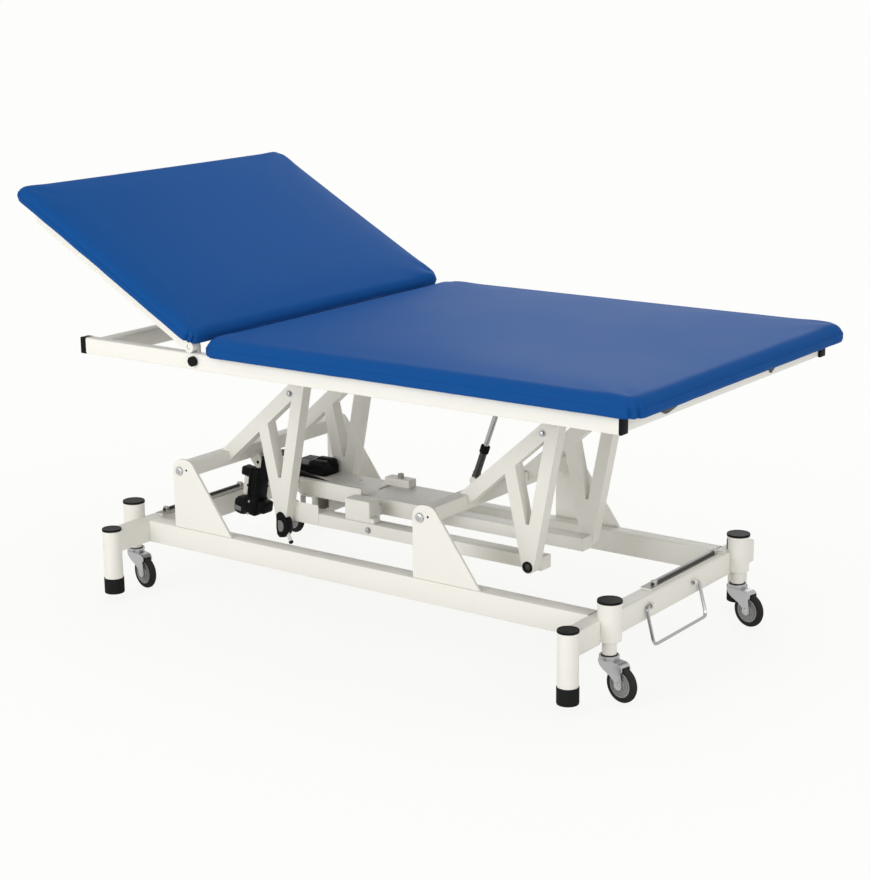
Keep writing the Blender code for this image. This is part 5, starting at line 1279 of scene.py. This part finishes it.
@dataclass
class Mattress:
    """One upholstered mattress: foam on a board, in a vinyl cover.

    The pleats' turns and spread are in degrees round a corner, the ripple in waves per metre, and the edge
    lines are shares of the corner's radius.
    """

    node: str
    body: str
    place: Matrix
    low: Vector
    high: Vector
    pitch: float = 0.013
    side_steps: int = 7
    corner_r: float = 0.042
    top_r: float = 0.034
    under_r: float = 0.009
    crown: float = 0.0075
    pucker: float = 0.0024
    ripple: float = 17.0
    ripple_row: float = 3.7
    pleat: float = 0.0095
    pleat_turns: tuple = (33.0, 58.0)
    pleat_spread: float = 4.5
    pull_in: float = 0.0020
    gather_from: float = 0.3
    held_depth: float = 0.0012
    swell_cap: float = 0.0030
    pressure: float = 4.0
    stretch_stiffness: float = 30.0
    bend_stiffness: float = 4.0
    frames: int = 20
    felt_inset: float = 0.055
    fill: float = 0.85
    edge_lines: tuple = (0.0, 0.012, 0.05, 0.10, 0.15, 0.20, 0.26, 0.32, 0.39, 0.46, 0.54, 0.62, 0.71, 0.80,
                         0.90, 1.0, 1.25)

    def build(self) -> bpy.types.Object:
        """Builds the mattress, blows it up a little, dresses it and returns it."""
        item = self._shell()
        self._inflate(item)
        self._gather(item)
        self._underside(item)
        finer = item.modifiers.new("finer", "SUBSURF")
        finer.levels = 1
        finer.render_levels = 1
        item.matrix_world = self.place
        bpy.context.view_layer.update()
        Shop.mount(item, self.body, self.node)
        return item

    def _middle_and_half(self) -> tuple[Vector, Vector]:
        """Returns the box's middle and half its size."""
        return (self.low + self.high) / 2, (self.high - self.low) / 2

    def _beyond(self, away: Vector, half: Vector) -> tuple[Vector, Vector]:
        """Splits a point's place in plan into the part inside the corner centres, and the rest.

        Args:
            away: The point, from the box's middle.
            half: Half the box's size.

        Returns:
            The nearest place inside the corner centres, and the way out from it, both level.
        """
        x, y = half.x - self.corner_r, half.y - self.corner_r
        core = Vector((max(-x, min(x, away.x)), max(-y, min(y, away.y)), 0))
        return core, Vector((away.x - core.x, away.y - core.y, 0))

    def _lines(self, low: float, high: float) -> list[float]:
        """Returns grid lines from one edge to the other, closer near the edges."""
        near = [self.corner_r * share for share in self.edge_lines]
        start, stop = low + near[-1], high - near[-1]
        count = max(1, round((stop - start) / self.pitch))
        inner = [start + (stop - start) * step / count for step in range(1, count)]
        return [low + n for n in near] + inner + [high - n for n in reversed(near)]

    def _shell(self) -> bpy.types.Object:
        """Makes the rounded, crowned shell on a grid."""
        shape = bmesh.new()
        xs = self._lines(self.low.x, self.high.x)
        ys = self._lines(self.low.y, self.high.y)
        height = self.high.z - self.low.z
        zs = [self.low.z + height * step / self.side_steps for step in range(self.side_steps + 1)]
        sheets = [(xs, ys, lambda a, b: (a, b, zs[0])), (xs, ys, lambda a, b: (a, b, zs[-1])),
                  (xs, zs, lambda a, b: (a, ys[0], b)), (xs, zs, lambda a, b: (a, ys[-1], b)),
                  (ys, zs, lambda a, b: (xs[0], a, b)), (ys, zs, lambda a, b: (xs[-1], a, b))]
        for across, along, at in sheets:
            grid = [[shape.verts.new(at(a, b)) for b in along] for a in across]
            for row, following in zip(grid, grid[1:]):
                for quad in zip(row, following, following[1:], row[1:]):
                    shape.faces.new(quad)
        bmesh.ops.remove_doubles(shape, verts=shape.verts[:], dist=1e-6)
        for vert in shape.verts:
            vert.co = self._formed(vert.co)
        return Shop.piece(self.node.replace("_cushion", "_mattress"), shape, BLUE_VINYL)

    def _formed(self, point: Vector) -> Vector:
        """Rounds and crowns one point of the box."""
        middle, half = self._middle_and_half()
        away = point - middle
        level = away.z / half.z
        core, out = self._beyond(away, half)
        if out.length > 0:
            out *= max(abs(out.x), abs(out.y)) / out.length
        inside = self.corner_r - out.length
        flat = core + out
        if abs(level) > 0.999:
            radius = self.top_r if level > 0 else self.under_r
            short = max(0.0, radius - inside)
            drop = radius - math.sqrt(max(0.0, radius ** 2 - short ** 2))
            flat.z = math.copysign(half.z - drop, level)
        else:
            share = (level + 1) / 2
            flat.z = -half.z + self.under_r + share * (2 * half.z - self.under_r - self.top_r)
        if level > 0.999:
            across = Vector((away.x / half.x, away.y / half.y))
            flat.z -= self.crown * (1 - (1 - across.x ** 4) * (1 - across.y ** 4))
        return middle + flat

    def _inflate(self, item: bpy.types.Object) -> None:
        """Blows the cover up by cloth simulation, with its underside held, and caps how far it moves."""
        held = item.vertex_groups.new(name="board")
        floor = self.low.z + self.held_depth
        held.add([v.index for v in item.data.vertices if v.co.z < floor], 1.0, "REPLACE")
        cloth = item.modifiers.new("cover", "CLOTH")
        cloth.settings.vertex_group_mass = held.name
        cloth.settings.quality = 4
        cloth.settings.tension_stiffness = self.stretch_stiffness
        cloth.settings.compression_stiffness = self.stretch_stiffness
        cloth.settings.bending_stiffness = self.bend_stiffness
        cloth.settings.use_pressure = True
        cloth.settings.uniform_pressure_force = self.pressure
        cloth.settings.effector_weights.gravity = 0.0
        cloth.point_cache.frame_start = 1
        cloth.point_cache.frame_end = self.frames
        scene = bpy.context.scene
        for number in range(1, self.frames + 1):
            scene.frame_set(number)
        graph = bpy.context.evaluated_depsgraph_get()
        blown = [v.co.copy() for v in item.evaluated_get(graph).data.vertices]
        item.modifiers.remove(cloth)
        scene.frame_set(1)
        for vert, moved in zip(item.data.vertices, blown):
            step = moved - vert.co
            if step.length > self.swell_cap:
                step *= self.swell_cap / step.length
            vert.co += step

    def _gather(self, item: bpy.types.Object) -> None:
        """Gathers the cover: sides pulled in, puckers along them and two pleats at each corner."""
        middle, half = self._middle_and_half()
        for vert in item.data.vertices:
            away = vert.co - middle
            _, out = self._beyond(away, half)
            if out.length < self.gather_from * self.corner_r:
                continue
            normal = out.normalized()
            low_share = 0.75 - 0.5 * max(-1.0, min(1.0, away.z / half.z))
            edge = min(1.0, out.length / self.corner_r) ** 3 * low_share
            wave = noise.noise(Vector((away.x * self.ripple, away.y * self.ripple, self.ripple_row * half.x)))
            turn = math.degrees(math.atan2(abs(normal.y), abs(normal.x)))
            fold = sum(math.exp(-((turn - at) / self.pleat_spread) ** 2) for at in self.pleat_turns)
            span = (1 - (away.x / half.x) ** 2) * abs(normal.y) + (1 - (away.y / half.y) ** 2) * abs(normal.x)
            shift = edge * (self.pucker * wave - self.pleat * fold) - self.pull_in * max(0.0, span)
            vert.co += normal * shift

    def _underside(self, item: bpy.types.Object) -> None:
        """Lines the underside with felt, inside the turned-under cover."""
        item.data.materials.append(DARK_FELT.material())
        low, high, inset = self.low, self.high, self.felt_inset
        for face in item.data.polygons:
            x, y, z = face.center
            inside = low.x + inset < x < high.x - inset and low.y + inset < y < high.y - inset
            if inside and z < low.z + 0.001:
                face.material_index = 1


@dataclass
class Upholstery:
    """The two mattresses, and the frame of the raised one."""

    lean: float = math.radians(29.0)
    back_foot: float = -0.0200
    back_head: float = 0.6990
    back_bottom: float = 0.0176
    back_thick: float = 0.0440
    seat_reach: float = 0.0100
    seat_rise: float = 0.0045
    squeeze: float = 0.958
    seat_corner_r: float = 0.055
    back_top_r: float = 0.027

    def build(self) -> None:
        """Builds both mattresses and dresses the backrest frame.

        They end a little apart at rest.
        """
        low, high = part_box("seat_cushion")
        Mattress("seat_cushion", "deck", Matrix.Identity(4), low - Vector((self.seat_reach, 0, 0)),
                 high + Vector((0, 0, self.seat_rise)), corner_r=self.seat_corner_r).build()
        place = Matrix.Translation(pivot("backrest_hinge")) @ Matrix.Rotation(self.lean, 4, "Y")
        half = (high.y - low.y) / 2
        back_low = Vector((-self.back_head, -half, self.back_bottom))
        back_high = Vector((-self.back_foot, half, self.back_bottom + self.back_thick))
        back = Mattress("backrest_cushion", "backrest", place, back_low, back_high,
                        top_r=self.back_top_r).build()
        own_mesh(back)
        Shop.skin("backrest_frame")


def main() -> None:
    """Builds the studio and every sub-assembly in order."""
    logging.basicConfig(level=logging.INFO, format="%(message)s")
    for part in (Studio(), BaseFrame(), CastorSet(), CastorLift(), LiftLinkage(), TieFrame(), LiftActuator(),
                 GasStrut(), Deck(), Upholstery()):
        part.build()
        LOG.info("%s is dressed", type(part).__name__)


if __name__ == "__main__":
    main()
